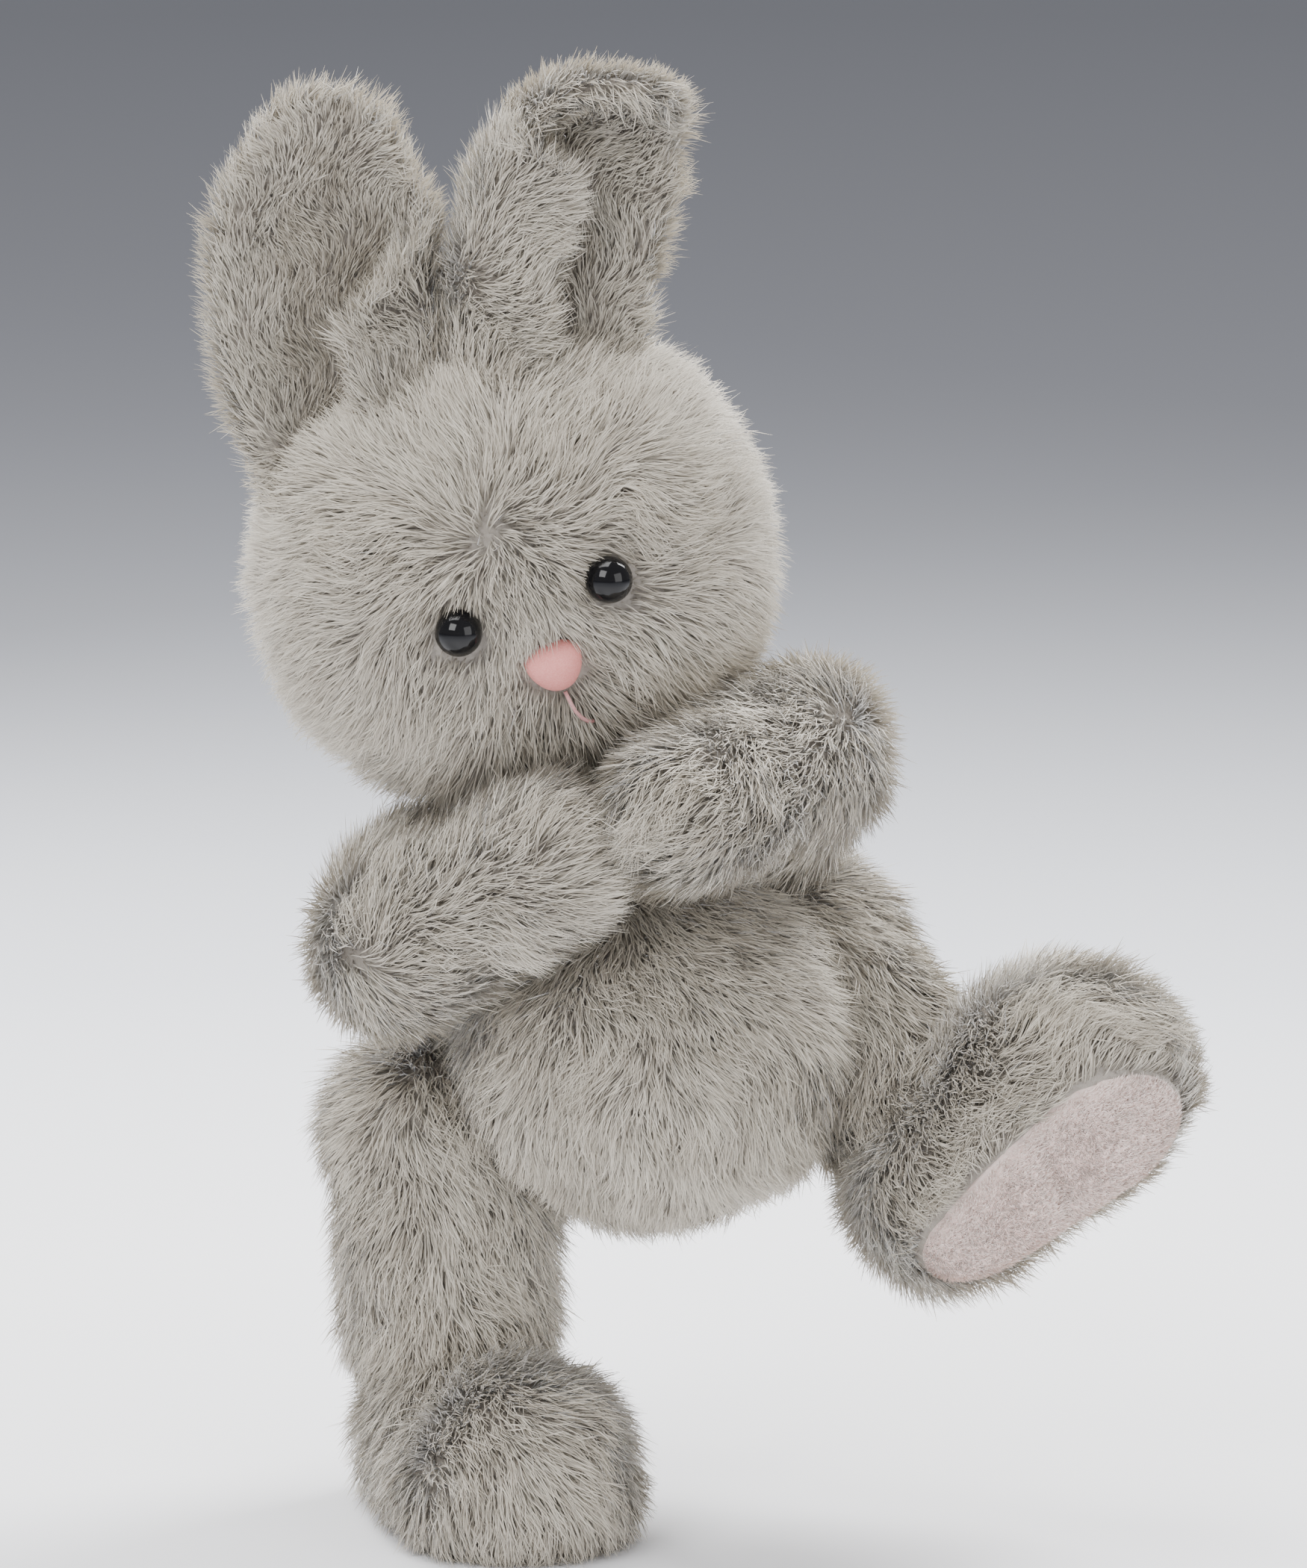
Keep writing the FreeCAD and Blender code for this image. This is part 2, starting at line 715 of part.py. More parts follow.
def build_mouth():
    """One thread from under the nose, with a small hook at its end."""
    places = [
        (face_shift, -nose_drop - nose_height * 0.62),
        (face_shift + 0.9, -mouth_drop),
        (face_shift + mouth_hook, -mouth_drop - mouth_hook_drop),
    ]
    points = []
    for side, up in places:
        seat, out = on_head(side, up, -Y)
        points.append(seat + out * (stitch_radius + stitch_lift))
    threads = [rod(a, b, stitch_radius) for a, b in zip(points, points[1:])]
    return fused(*threads, *[ball(p, stitch_radius) for p in points])


eyes = {side: safety_eye(face_shift + way * eye_spread) for side, way in (("right", -1), ("left", 1))}
eye_seats = [on_head(face_shift + way * eye_spread, -eye_drop, -Y) for way in (-1, 1)]
nose, nose_seat, nose_out = build_nose()
face_seats = eye_seats + [(nose_seat, nose_out)]
for side, eye in eyes.items():
    add(f"eye_{side}", eye)
add("nose", nose)
add("mouth_stitch", build_mouth())
add("face_washers", [washer(seat, out) for seat, out in face_seats])

plate_middle = neck_nod_middle + head_up * (fork_depth + plate_thickness / 2)
add(
    "neck_plate",
    fused(
        fork(neck_nod_middle, head_side, head_up, pin_clearance),
        disc(plate_middle, head_up, plate_radius, plate_thickness),
    ),
)


# ---- ears ----
def build_ear(side, across, lean):
    """A cupped paddle that tips on a small hinge at its root. Its hollow looks forward."""
    seat, out = on_head(across, math.sqrt(head_radius ** 2 - (abs(across) - head_half_span) ** 2) - 1e-6, -Y)
    along = turned(head_up, Y, lean)
    wide = square_to(head_side, along)
    front = unit(wide.cross(along))
    if front.dot(-Y) < 0:
        front = -front
    hinge = seat + out * ear_lift
    middle = hinge + along * (ear_length / 2 - ear_root_overlap)

    paddle = Part.Ellipse(Vector(0, 0, 0), ear_length / 2, ear_half_width).toShape()
    prism = Part.Face(Part.Wire(paddle)).extrude(Z * far)
    prism.translate(Z * (-far / 2))
    placed(prism, middle, along, front)
    curl = ear_cup_radius + ear_thickness / 2
    axis_foot = hinge + front * ear_cup_radius - along * far / 4
    axis_end = hinge + front * ear_cup_radius + along * far / 4
    tube = rod(axis_foot, axis_end, curl).cut(rod(axis_foot, axis_end, curl - ear_thickness))
    behind = half_space(hinge + front * (ear_cup_radius - ear_cup_rim), -front)
    blade = tube.common(behind).common(prism).cut(half_space(hinge, -along))
    root = rod(hinge - wide * (ear_root_span / 2), hinge + wide * (ear_root_span / 2), ear_root_radius)
    cover = fused(blade, root)

    slim = ear_slim
    eye_part = disc(hinge, wide, tongue_radius * slim, tongue_thickness * slim)
    spine_end = hinge + along * (ear_length * ear_spine_share)
    journal = disc(hinge, wide, pin_radius * slim, fork_width * slim)
    spine_piece = fused(eye_part, journal, rod(hinge, spine_end, stem_radius * slim))
    post = ear_post(hinge, wide, -along, slim)
    cavity = [
        disc(hinge, wide, tongue_radius * slim + 1.0, fork_width * slim + 2 * body_gap),
        rod(hinge, spine_end + along * fill_gap, stem_radius * slim + fill_gap),
        sector(hinge, wide, -along, -75, 75, ear_root_radius + 2, fork_width * slim + 2 * body_gap),
    ]
    add(f"ear_cover_{side}", largest(cover.cut(cavity)))
    add(f"ear_spine_{side}", spine_piece)
    return SimpleNamespace(hinge=hinge, axis=wide, post=post, along=along)


def ear_post(middle, axis, inward, slim):
    """A small fork on a stalk that is anchored in the head by a round flange."""
    depth = ear_fork_depth
    body = block(
        middle + inward * (depth / 2), axis, inward,
        fork_width * slim, 2 * tongue_radius * slim, depth,
    )
    body = body.fuse(disc(middle, axis, tongue_radius * slim, fork_width * slim))
    slot_end = tongue_radius * slim + 2 * cheek_gap
    slot = block(
        middle + inward * (slot_end - far / 2), axis, inward,
        tongue_thickness * slim + 2 * cheek_gap, far, far,
    )
    bore = disc(middle, axis, pin_radius * slim + pin_clearance, far)
    end = middle + inward * ear_post_length
    stalk = rod(middle + inward * (depth - 1), end, bone_radius * slim)
    flange = disc(end, inward, washer_radius, washer_thickness)
    return fused(body.cut([slot, bore]), stalk, flange)


right_ear = build_ear("right", right_ear_side, right_ear_lean)
left_ear = build_ear("left", left_ear_side, left_ear_lean)
add("ear_posts", [right_ear.post, left_ear.post])

well_top = neck_nod_middle + head_up * (fork_depth + plate_thickness + fill_gap)
neck_well = rod(neck_tilt_middle, well_top, neck_well_radius)
mouth_length = neck_gap + fork_depth + 2 * neck_flat
neck_mouth = Part.makeCone(
    neck_well_radius, neck_mouth_radius, mouth_length, neck_tilt_middle + head_up * 0.5, -head_up
)
neck_rooms = [neck_well, neck_mouth]
post_hole_depth = ear_post_length + washer_thickness + fill_gap
post_holes = [
    rod(ear.hinge, ear.hinge - ear.along * (ear_post_length - washer_thickness - fill_gap), tongue_radius)
    for ear in (right_ear, left_ear)
]
post_rooms = [
    rod(ear.hinge, ear.hinge - ear.along * post_hole_depth, washer_radius + fill_gap)
    for ear in (right_ear, left_ear)
]
face_holes = [shank_hole(seat, out) for seat, out in face_seats]
face_rooms = [room for seat, out in face_seats for room in washer_room(seat, out)]
case, fill = case_and_fill(
    head_form, neck_rooms + post_holes + face_holes, neck_rooms + post_rooms + face_rooms
)
add("head_cover", case)
add("head_stuffing", fill)

# ---- origin: the middle of the box that the rabbit fills, on the surface it stands on ----
box = FreeCAD.BoundBox()
for shape in nodes.values():
    box.add(shape.optimalBoundingBox(True, False))
origin = Vector((box.XMin + box.XMax) / 2, (box.YMin + box.YMax) / 2, box.ZMin)

for name, shape in nodes.items():
    moved = shape.copy()
    moved.translate(-origin)
    moved.exportStep(f"parts/{name}.step")
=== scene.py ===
import json
import math

import bmesh
import bpy
import numpy as np
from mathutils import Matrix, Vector, kdtree


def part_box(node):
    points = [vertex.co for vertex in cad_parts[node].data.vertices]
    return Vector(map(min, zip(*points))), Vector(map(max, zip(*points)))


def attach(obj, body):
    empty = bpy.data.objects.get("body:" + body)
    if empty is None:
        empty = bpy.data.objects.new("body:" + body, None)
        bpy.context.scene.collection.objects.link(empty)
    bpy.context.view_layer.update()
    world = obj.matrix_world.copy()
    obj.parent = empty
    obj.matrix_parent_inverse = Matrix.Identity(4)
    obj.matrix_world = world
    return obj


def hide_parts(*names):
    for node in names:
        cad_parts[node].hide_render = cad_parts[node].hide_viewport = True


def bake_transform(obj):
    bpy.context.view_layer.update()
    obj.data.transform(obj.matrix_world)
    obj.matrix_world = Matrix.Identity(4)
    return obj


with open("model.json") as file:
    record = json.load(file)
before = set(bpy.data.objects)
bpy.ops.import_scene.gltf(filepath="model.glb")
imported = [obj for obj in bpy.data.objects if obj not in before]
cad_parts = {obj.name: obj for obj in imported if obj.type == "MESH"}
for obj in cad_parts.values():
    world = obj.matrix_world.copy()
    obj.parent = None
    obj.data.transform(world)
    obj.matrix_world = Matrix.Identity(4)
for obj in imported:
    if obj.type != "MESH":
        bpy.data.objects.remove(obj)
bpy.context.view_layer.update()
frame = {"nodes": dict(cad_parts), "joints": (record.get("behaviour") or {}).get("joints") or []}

MM = 0.001


def vec(*v):
    return np.array(v, float)


def unit(v):
    v = np.asarray(v, float)
    return v / np.maximum(np.linalg.norm(v, axis=-1, keepdims=True), 1e-12)


def box_middle(node):
    low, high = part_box(node)
    return np.array((low + high) / 2)


at = {j["name"]: np.array(j["pos_m"], float) for j in frame["joints"]}
axis = {j["name"]: unit(np.array(j["axis"], float)) for j in frame["joints"]}


def link(name, mesh):
    obj = bpy.data.objects.new(name, mesh)
    bpy.context.scene.collection.objects.link(obj)
    return obj


# ---------------------------------------------------------------- materials
def material(name, build):
    mat = bpy.data.materials.new(name)
    mat.use_nodes = True
    nodes, links = mat.node_tree.nodes, mat.node_tree.links
    build(nodes, links, nodes["Principled BSDF"])
    return mat


def ramp(nodes, stops):
    node = nodes.new("ShaderNodeValToRGB")
    cr = node.color_ramp
    while len(cr.elements) < len(stops):
        cr.elements.new(0.5)
    for element, (place, colour) in zip(cr.elements, stops):
        element.position = place
        element.color = (*colour, 1)
    return node


def noise_bump(nodes, links, bsdf, scale, strength, distance, detail=6):
    coords = nodes.new("ShaderNodeTexCoord")
    noise = nodes.new("ShaderNodeTexNoise")
    noise.inputs["Scale"].default_value = scale
    noise.inputs["Detail"].default_value = detail
    links.new(coords.outputs["Object"], noise.inputs["Vector"])
    bump = nodes.new("ShaderNodeBump")
    bump.inputs["Strength"].default_value = strength
    bump.inputs["Distance"].default_value = distance
    links.new(noise.outputs["Fac"], bump.inputs["Height"])
    links.new(bump.outputs["Normal"], bsdf.inputs["Normal"])
    return noise


def noise_colour(nodes, links, bsdf, noise, low, high):
    shades = ramp(nodes, [(0.35, low), (0.65, high)])
    links.new(noise.outputs["Fac"], shades.inputs["Fac"])
    links.new(shades.outputs["Color"], bsdf.inputs["Base Color"])


def pile_look(root, middle, tip):
    """Colour runs from root to tip along V and from a dark strand to a light one along U. The place on U carries
    the pile's own tone and also the painted shade and painted light that the callers set.
    """
    def build(nodes, links, bsdf):
        uv = nodes.new("ShaderNodeUVMap")
        uv.uv_map = "OFBake"
        split = nodes.new("ShaderNodeSeparateXYZ")
        links.new(uv.outputs["UV"], split.inputs["Vector"])
        along = ramp(nodes, [(0.0, root), (0.30, middle), (0.72, tip), (1.0, tip)])
        links.new(split.outputs["Y"], along.inputs["Fac"])
        tint = ramp(nodes, [
            (0.0, (0.60, 0.57, 0.53)), (0.5, (0.92, 0.90, 0.875)), (1.0, (1.0, 0.995, 0.98)),
        ])
        links.new(split.outputs["X"], tint.inputs["Fac"])
        mix = nodes.new("ShaderNodeMix")
        mix.data_type = "RGBA"
        mix.blend_type = "MULTIPLY"
        mix.inputs["Factor"].default_value = 1.0
        links.new(along.outputs["Color"], mix.inputs["A"])
        links.new(tint.outputs["Color"], mix.inputs["B"])
        links.new(mix.outputs["Result"], bsdf.inputs["Base Color"])
        bsdf.inputs["Roughness"].default_value = 0.62
        bsdf.inputs["Specular IOR Level"].default_value = 0.25
        bsdf.inputs["Sheen Weight"].default_value = 0.8
        bsdf.inputs["Sheen Roughness"].default_value = 0.4
    return build


def backing_look(nodes, links, bsdf):
    noise = noise_bump(nodes, links, bsdf, 900.0, 0.5, 0.0004)
    noise_colour(nodes, links, bsdf, noise, (0.34, 0.308, 0.268), (0.42, 0.382, 0.338))
    bsdf.inputs["Roughness"].default_value = 0.95


def eye_look(nodes, links, bsdf):
    noise = noise_bump(nodes, links, bsdf, 60.0, 0.02, 0.0001, 1)
    noise_colour(nodes, links, bsdf, noise, (0.004, 0.004, 0.005), (0.007, 0.007, 0.008))
    bsdf.inputs["Roughness"].default_value = 0.06
    bsdf.inputs["Specular IOR Level"].default_value = 0.35


def nose_look(nodes, links, bsdf):
    noise = noise_bump(nodes, links, bsdf, 2600.0, 0.35, 0.00012)
    noise_colour(nodes, links, bsdf, noise, (0.86, 0.30, 0.275), (0.92, 0.38, 0.345))
    bsdf.inputs["Roughness"].default_value = 0.85


def thread_look(nodes, links, bsdf):
    noise = noise_bump(nodes, links, bsdf, 2500.0, 0.6, 0.0001)
    noise_colour(nodes, links, bsdf, noise, (0.72, 0.34, 0.34), (0.84, 0.48, 0.47))
    bsdf.inputs["Roughness"].default_value = 0.6


def sole_look(nodes, links, bsdf):
    noise = noise_bump(nodes, links, bsdf, 1100.0, 0.6, 0.0003)
    # These pinks are the sole's own pale pink made lighter: partly its colour, partly painted light standing in
    # for light the floor throws onto the underside.
    noise_colour(nodes, links, bsdf, noise, (0.90, 0.70, 0.645), (0.95, 0.80, 0.745))
    bsdf.inputs["Roughness"].default_value = 0.9
    bsdf.inputs["Sheen Weight"].default_value = 0.4
    bsdf.inputs["Sheen Roughness"].default_value = 0.4


def plastic_look(nodes, links, bsdf):
    noise = noise_bump(nodes, links, bsdf, 700.0, 0.15, 0.0001)
    noise_colour(nodes, links, bsdf, noise, (0.70, 0.70, 0.67), (0.76, 0.76, 0.73))
    bsdf.inputs["Roughness"].default_value = 0.45


pile = material("long_pile", pile_look((0.335, 0.308, 0.262), (0.465, 0.434, 0.377), (0.70, 0.655, 0.568)))
# The nap's pinks are likewise made lighter: partly their colour, partly painted light for the light from the
# floor.
sole_nap = material("sole_nap", pile_look((0.88, 0.68, 0.62), (0.94, 0.78, 0.72), (0.98, 0.87, 0.82)))
backing = material("backing", backing_look)
eye_gloss = material("eye_gloss", eye_look)
nose_flock = material("nose_flock", nose_look)
mouth_thread = material("mouth_thread", thread_look)
sole_cloth = material("sole_cloth", sole_look)
plastic = material("plastic", plastic_look)


# ---------------------------------------------------------------- forms
def ball_points(centre, radii, count=26):
    """Points spread over an ellipsoid."""
    theta = np.linspace(0, math.pi, count)
    phi = np.linspace(0, 2 * math.pi, 2 * count, endpoint=False)
    t, p = np.meshgrid(theta, phi, indexing="ij")
    spread = np.stack([np.sin(t) * np.cos(p), np.sin(t) * np.sin(p), np.cos(t)], -1).reshape(-1, 3)
    return np.asarray(centre) + spread * np.asarray(radii)


def hull_mesh(points):
    bm = bmesh.new()
    for p in points:
        bm.verts.new(p)
    bmesh.ops.convex_hull(bm, input=bm.verts)
    loose = [v for v in bm.verts if not v.link_faces]
    bmesh.ops.delete(bm, geom=loose, context="VERTS")
    return bm


def form(name, hulls, voxel=2.6 * MM, smooth=8):
    """One closed skin around several hulls of balls: hulls is a list of lists of (centre, radius)."""
    whole = bmesh.new()
    for balls in hulls:
        points = np.concatenate([ball_points(c, r) for c, r in balls])
        bm = hull_mesh(points)
        piece = bpy.data.meshes.new("piece")
        bm.to_mesh(piece)
        bm.free()
        whole.from_mesh(piece)
        bpy.data.meshes.remove(piece)
    mesh = bpy.data.meshes.new(name)
    whole.to_mesh(mesh)
    whole.free()
    obj = link(name, mesh)
    remesh = obj.modifiers.new("remesh", "REMESH")
    remesh.mode = "VOXEL"
    remesh.voxel_size = voxel
    relax = obj.modifiers.new("relax", "SMOOTH")
    relax.factor = 0.5
    relax.iterations = smooth
    graph = bpy.context.evaluated_depsgraph_get()
    done = bpy.data.meshes.new_from_object(obj.evaluated_get(graph))
    obj.modifiers.clear()
    obj.data = done
    done.name = name
    obj.data.polygons.foreach_set("use_smooth", [True] * len(done.polygons))
    return obj


def get_points(mesh):
    co = np.zeros(len(mesh.vertices) * 3)
    mesh.vertices.foreach_get("co", co)
    return co.reshape(-1, 3)


def set_points(mesh, co):
    mesh.vertices.foreach_set("co", np.asarray(co, float).ravel())
    mesh.update()


def wave(points, size, seed):
    """Smooth noise from -1 to 1 with features of that size."""
    r = np.random.default_rng(seed)
    total = np.zeros(len(points))
    for _ in range(7):
        k = unit(r.normal(size=3)) * (2 * math.pi / size) * r.uniform(0.6, 1.3)
        total += np.sin(points @ k + r.uniform(0, 2 * math.pi))
    return total / 3.0


def segment_distance(points, a, b):
    along = b - a
    t = np.clip((points - a) @ along / (along @ along), 0, 1)
    return np.linalg.norm(points - (a + t[:, None] * along), axis=1)


def lumpy(obj, height, size, seed):
    """Uneven filling under the cloth."""
    co = get_points(obj.data)
    normals = np.zeros(len(co) * 3)
    obj.data.vertices.foreach_get("normal", normals)
    set_points(obj.data, co + normals.reshape(-1, 3) * (wave(co, size, seed) * height)[:, None])


def press_out(obj, a, b, radius):
    """The cloth gives way to a limb that lies against it."""
    co = get_points(obj.data)
    along = b - a
    t = np.clip((co - a) @ along / (along @ along), 0, 1)
    foot = a + t[:, None] * along
    gap = co - foot
    far = np.linalg.norm(gap, axis=1)
    inside = far < radius
    co[inside] = foot[inside] + gap[inside] * (radius / far[inside])[:, None]
    set_points(obj.data, co)


# ---------------------------------------------------------------- pile
def surface_points(mesh, per_mm2, seed):
    r = np.random.default_rng(seed)
    mesh.calc_loop_triangles()
    tri = np.zeros(len(mesh.loop_triangles) * 3, np.int32)
    mesh.loop_triangles.foreach_get("vertices", tri)
    tri = tri.reshape(-1, 3)
    co = get_points(mesh)
    vn = np.zeros(len(mesh.vertices) * 3)
    mesh.vertices.foreach_get("normal", vn)
    vn = vn.reshape(-1, 3)
    a, b, c = co[tri[:, 0]], co[tri[:, 1]], co[tri[:, 2]]
    area = np.linalg.norm(np.cross(b - a, c - a), axis=1) / 2
    count = int(area.sum() * 1e6 * per_mm2)
    cumulative = np.cumsum(area)
    pick = np.searchsorted(cumulative, r.uniform(0, cumulative[-1], count))
    pick = np.minimum(pick, len(tri) - 1)
    u, v = r.uniform(size=count), r.uniform(size=count)
    flip = u + v > 1
    u[flip], v[flip] = 1 - u[flip], 1 - v[flip]
    w = 1 - u - v
    points = a[pick] * w[:, None] + b[pick] * u[:, None] + c[pick] * v[:, None]
    normals = unit(
        vn[tri[pick, 0]] * w[:, None] + vn[tri[pick, 1]] * u[:, None] + vn[tri[pick, 2]] * v[:, None]
    )
    return points, normals


def turn_about(v, n, angle):
    """v turned about n by angle, for rows of vectors."""
    c, s = np.cos(angle)[:, None], np.sin(angle)[:, None]
    return v * c + np.cross(n, v) * s + n * (np.sum(n * v, 1)[:, None]) * (1 - c)


STEPS = np.array([0.0, 0.3, 0.62, 1.0])


def strands(name, points, normals, flow, length, lean, width, seed, look, slot_name,
            clump=2.5 * MM, pull=0.52, swirl=0.55, floor=None, shade=0.5, stray=0.16):
    """A mesh of flat tapering hairs. length and lean may be one number or one for each root."""
    r = np.random.default_rng(seed)
    n = len(points)
    flow = flow - normals * np.sum(flow * normals, 1)[:, None]
    flow = unit(flow + r.normal(size=(n, 3)) * 0.02)
    flow = unit(flow - normals * np.sum(flow * normals, 1)[:, None])
    flow = turn_about(flow, normals, swirl * wave(points, 26 * MM, seed + 1) + r.normal(size=n) * 0.30)
    long_ = length * (0.80 + 0.35 * r.uniform(size=n)) * (1 + 0.10 * wave(points, 17 * MM, seed + 2))
    tilt = lean + 0.16 * wave(points, 21 * MM, seed + 3) + r.normal(size=n) * 0.17
    loose = r.uniform(size=n) < stray
    tilt = np.where(loose, tilt * 0.5, tilt)
    tilt = np.clip(tilt, 0.05, 1.45)
    up, over = np.cos(tilt), np.sin(tilt)
    line = []
    for s in STEPS:
        rise = (s - 0.22 * s * s) * up
        reach = s * over + 0.16 * s * s
        line.append(points + (normals * rise[:, None] + flow * reach[:, None]) * long_[:, None])
    line = np.stack(line, 1)

    centres = np.flatnonzero(r.uniform(size=n) < 1.0 / max(2.0, clump_share(points, n, clump)))
    if len(centres) > 10 and pull > 0:
        tree = kdtree.KDTree(len(centres))
        for i, c in enumerate(centres):
            tree.insert(points[c], i)
        tree.balance()
        nearest = np.array([tree.find(p)[1] for p in points])
        own = centres[nearest]
        strength = pull * (0.45 + 0.75 * r.uniform(size=n)) * np.where(loose, 0.15, 1.0)
        offset = line[own] - line
        line = line + offset * (strength[:, None] * (STEPS ** 1.35)[None, :])[:, :, None]
    wobble = r.normal(size=(n, 3)) * (0.055 * long_)[:, None]
    line += wobble[:, None, :] * (STEPS ** 2)[None, :, None]
    wobble = r.normal(size=(n, 3)) * (0.03 * long_)[:, None]
    line += wobble[:, None, :] * np.sin(STEPS * math.pi)[None, :, None]
    if floor is not None:
        line[:, :, 2] = np.maximum(line[:, :, 2], floor + r.uniform(size=n)[:, None] * 0.6 * MM)
    line[:, 0] -= normals * (0.8 * MM)

    run = unit(line[:, 2] - line[:, 0])
    facing = unit(normals - run * np.sum(normals * run, 1)[:, None])
    facing = turn_about(facing, run, r.normal(size=n) * 0.55)
    side = unit(np.cross(run, facing))
    broad = width * (0.75 + 0.5 * r.uniform(size=n))
    taper = np.array([1.0, 0.95, 0.75, 0.12])
    half = side[:, None, :] * (broad[:, None] * taper[None, :] / 2)[:, :, None]
    verts = np.empty((n, 8, 3))
    verts[:, 0::2] = line - half
    verts[:, 1::2] = line + half

    # Each hair's place between dark and light: the waves and the random part are the pile's own tone, while a
    # caller's shade lowered or raised for creases, hollows or dim parts is painted shade or painted light.
    tone = np.clip(shade + 0.17 * wave(points, 9 * MM, seed + 4) + r.normal(size=n) * 0.22, 0.02, 0.98)
    column = (np.floor(tone * 32) + 0.5) / 32
    base = (np.arange(n) * 8)[:, None]
    corners = np.array([[2 * k, 2 * k + 1, 2 * k + 3, 2 * k + 2] for k in range(3)]).reshape(1, -1)
    quads = (base + corners).reshape(-1)
    mesh = bpy.data.meshes.new(name)
    mesh.vertices.add(n * 8)
    mesh.vertices.foreach_set("co", verts.ravel().astype(np.float32))
    mesh.loops.add(n * 12)
    mesh.loops.foreach_set("vertex_index", quads.astype(np.int32))
    mesh.polygons.add(n * 3)
    mesh.polygons.foreach_set("loop_start", np.arange(n * 3, dtype=np.int32) * 4)
    mesh.polygons.foreach_set("use_smooth", np.ones(n * 3, bool))
    uv_v = np.stack([STEPS * 0.94 + 0.03] * 2, 1).reshape(-1)
    uv_u = np.array([-0.009, 0.009] * 4)
    uv = np.empty((n, 8, 2))
    uv[:, :, 0] = column[:, None] + uv_u[None, :]
    uv[:, :, 1] = uv_v[None, :]
    layer = mesh.uv_layers.new(name="OFBake")
    layer.data.foreach_set("uv", uv.reshape(-1, 2)[quads].astype(np.float32).ravel())
    mesh.update()
    spread = side[:, None, :] * np.array([-0.35, 0.35] * 4)[None, :, None]
    soft = unit(normals[:, None, :] * 0.62 + facing[:, None, :] * 0.45 + spread)
    mesh.normals_split_custom_set_from_vertices(soft.reshape(-1, 3).astype(np.float32))
    mesh.materials.append(look)
    obj = link(name, mesh)
    return obj


def clump_share(points, n, clump):
    """How many hairs one clump gathers, from the roots' mean density."""
    low, high = points.min(0), points.max(0)
    size = high - low
    skin = 2 * (size[0] * size[1] + size[1] * size[2] + size[0] * size[2]) * 0.62
    return n * clump * clump / skin


DENSITY = 1.8
LENGTH = 12.0 * MM
WIDTH = 0.38 * MM


def coat(skin, flow, seed, body=None, length=LENGTH, lean=0.95, keep=None, tune=None, **more):
    """The pile on a skin, as a piece of its own beside the skin."""
    density = DENSITY * 1.0
    points, normals = surface_points(skin.data, density, seed)
    if keep is not None:
        chosen = keep(points, normals)
        points, normals = points[chosen], normals[chosen]
    lengths = np.full(len(points), length)
    leans = np.full(len(points), lean)
    extra = dict(shade=0.5)
    extra.update(more)
    if tune is not None:
        lengths, leans, shades = tune(points, normals, lengths, leans)
        if shades is not None:
            extra["shade"] = shades
    width = WIDTH * 1.0
    obj = strands(
        skin.name.replace("_skin", "_pile"), points, normals, flow(points, normals), lengths, leans,
        width, seed, pile, "fur", **extra,
    )
    if body:
        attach(obj, body)
    return obj


def finish_skin(skin, body, nodes):
    skin.data.materials.clear()
    skin.data.materials.append(backing)
    if body:
        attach(skin, body)
    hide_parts(*nodes)


# ---------------------------------------------------------------- landmarks
# sizes in mm, of the same toy as the frame
forearm_length = 47.5
ankle_height = 46
chest_drop = 31           # from the neck to the middle of the chest
belly_forward = 14
head_radius = 52
head_half_span = 8        # the head is a ball stretched sideways by twice this
head_lean = math.radians(19.5)
standing_toe_turn = math.radians(25)

hip = {s: at[f"hip_turn_{s}"] for s in ("right", "left")}
ankle = {s: at[f"ankle_turn_{s}"] for s in ("right", "left")}
foot_up = {s: axis[f"ankle_turn_{s}"] for s in ("right", "left")}
shoulder = {s: at[f"shoulder_turn_{s}"] for s in ("right", "left")}
elbow = {s: at[f"elbow_bend_{s}"] for s in ("right", "left")}
upper = {s: unit(elbow[s] - shoulder[s]) for s in elbow}
reach = {"right": unit(vec(36, -15, 23)), "left": unit(vec(-29, -36, -8))}
hand = {s: elbow[s] + reach[s] * forearm_length * MM for s in elbow}
neck = at["neck_turn"]
head_up = unit(vec(-math.sin(head_lean), 0, math.cos(head_lean)))
head_side = vec(head_up[2], 0, -head_up[0])
head = neck + vec(-17.5, 0, 54.0) * MM
front = vec(0, -1, 0)
pelvis = (hip["right"] + hip["left"]) / 2
pelvis_side = unit(hip["left"] - hip["right"])
pelvis_front = unit(np.cross(pelvis_side, vec(0, 0, 1)))
chest = neck - vec(0, 0, chest_drop) * MM
belly = pelvis + pelvis_front * belly_forward * MM + vec(4, 0, 5) * MM

toe_way = {
    "right": vec(math.sin(standing_toe_turn), -math.cos(standing_toe_turn), 0),
    "left": vec(0.755, -0.09, 0.649),
}
toe_way = {s: unit(toe_way[s] - foot_up[s] * (toe_way[s] @ foot_up[s])) for s in toe_way}
floor_point = {s: ankle[s] - foot_up[s] * ankle_height * MM for s in ankle}


def on_face(side, up, lift):
    """A point on the front of the head, side and up from its middle and lift off its cloth, in mm."""
    beyond = side - np.clip(side, -head_half_span, head_half_span)
    depth = math.sqrt(max(head_radius ** 2 - beyond ** 2 - up ** 2, 1))
    out = unit(head_side * beyond + head_up * up + front * depth)
    middle = head + head_side * np.clip(side, -head_half_span, head_half_span) * MM
    return middle + out * (head_radius + lift) * MM


nose_at = on_face(2.2, -20.6, 3)
eye = {"right": on_face(-17.0, -5.4, 1.5), "left": on_face(21.6, -5.4, 1.5)}

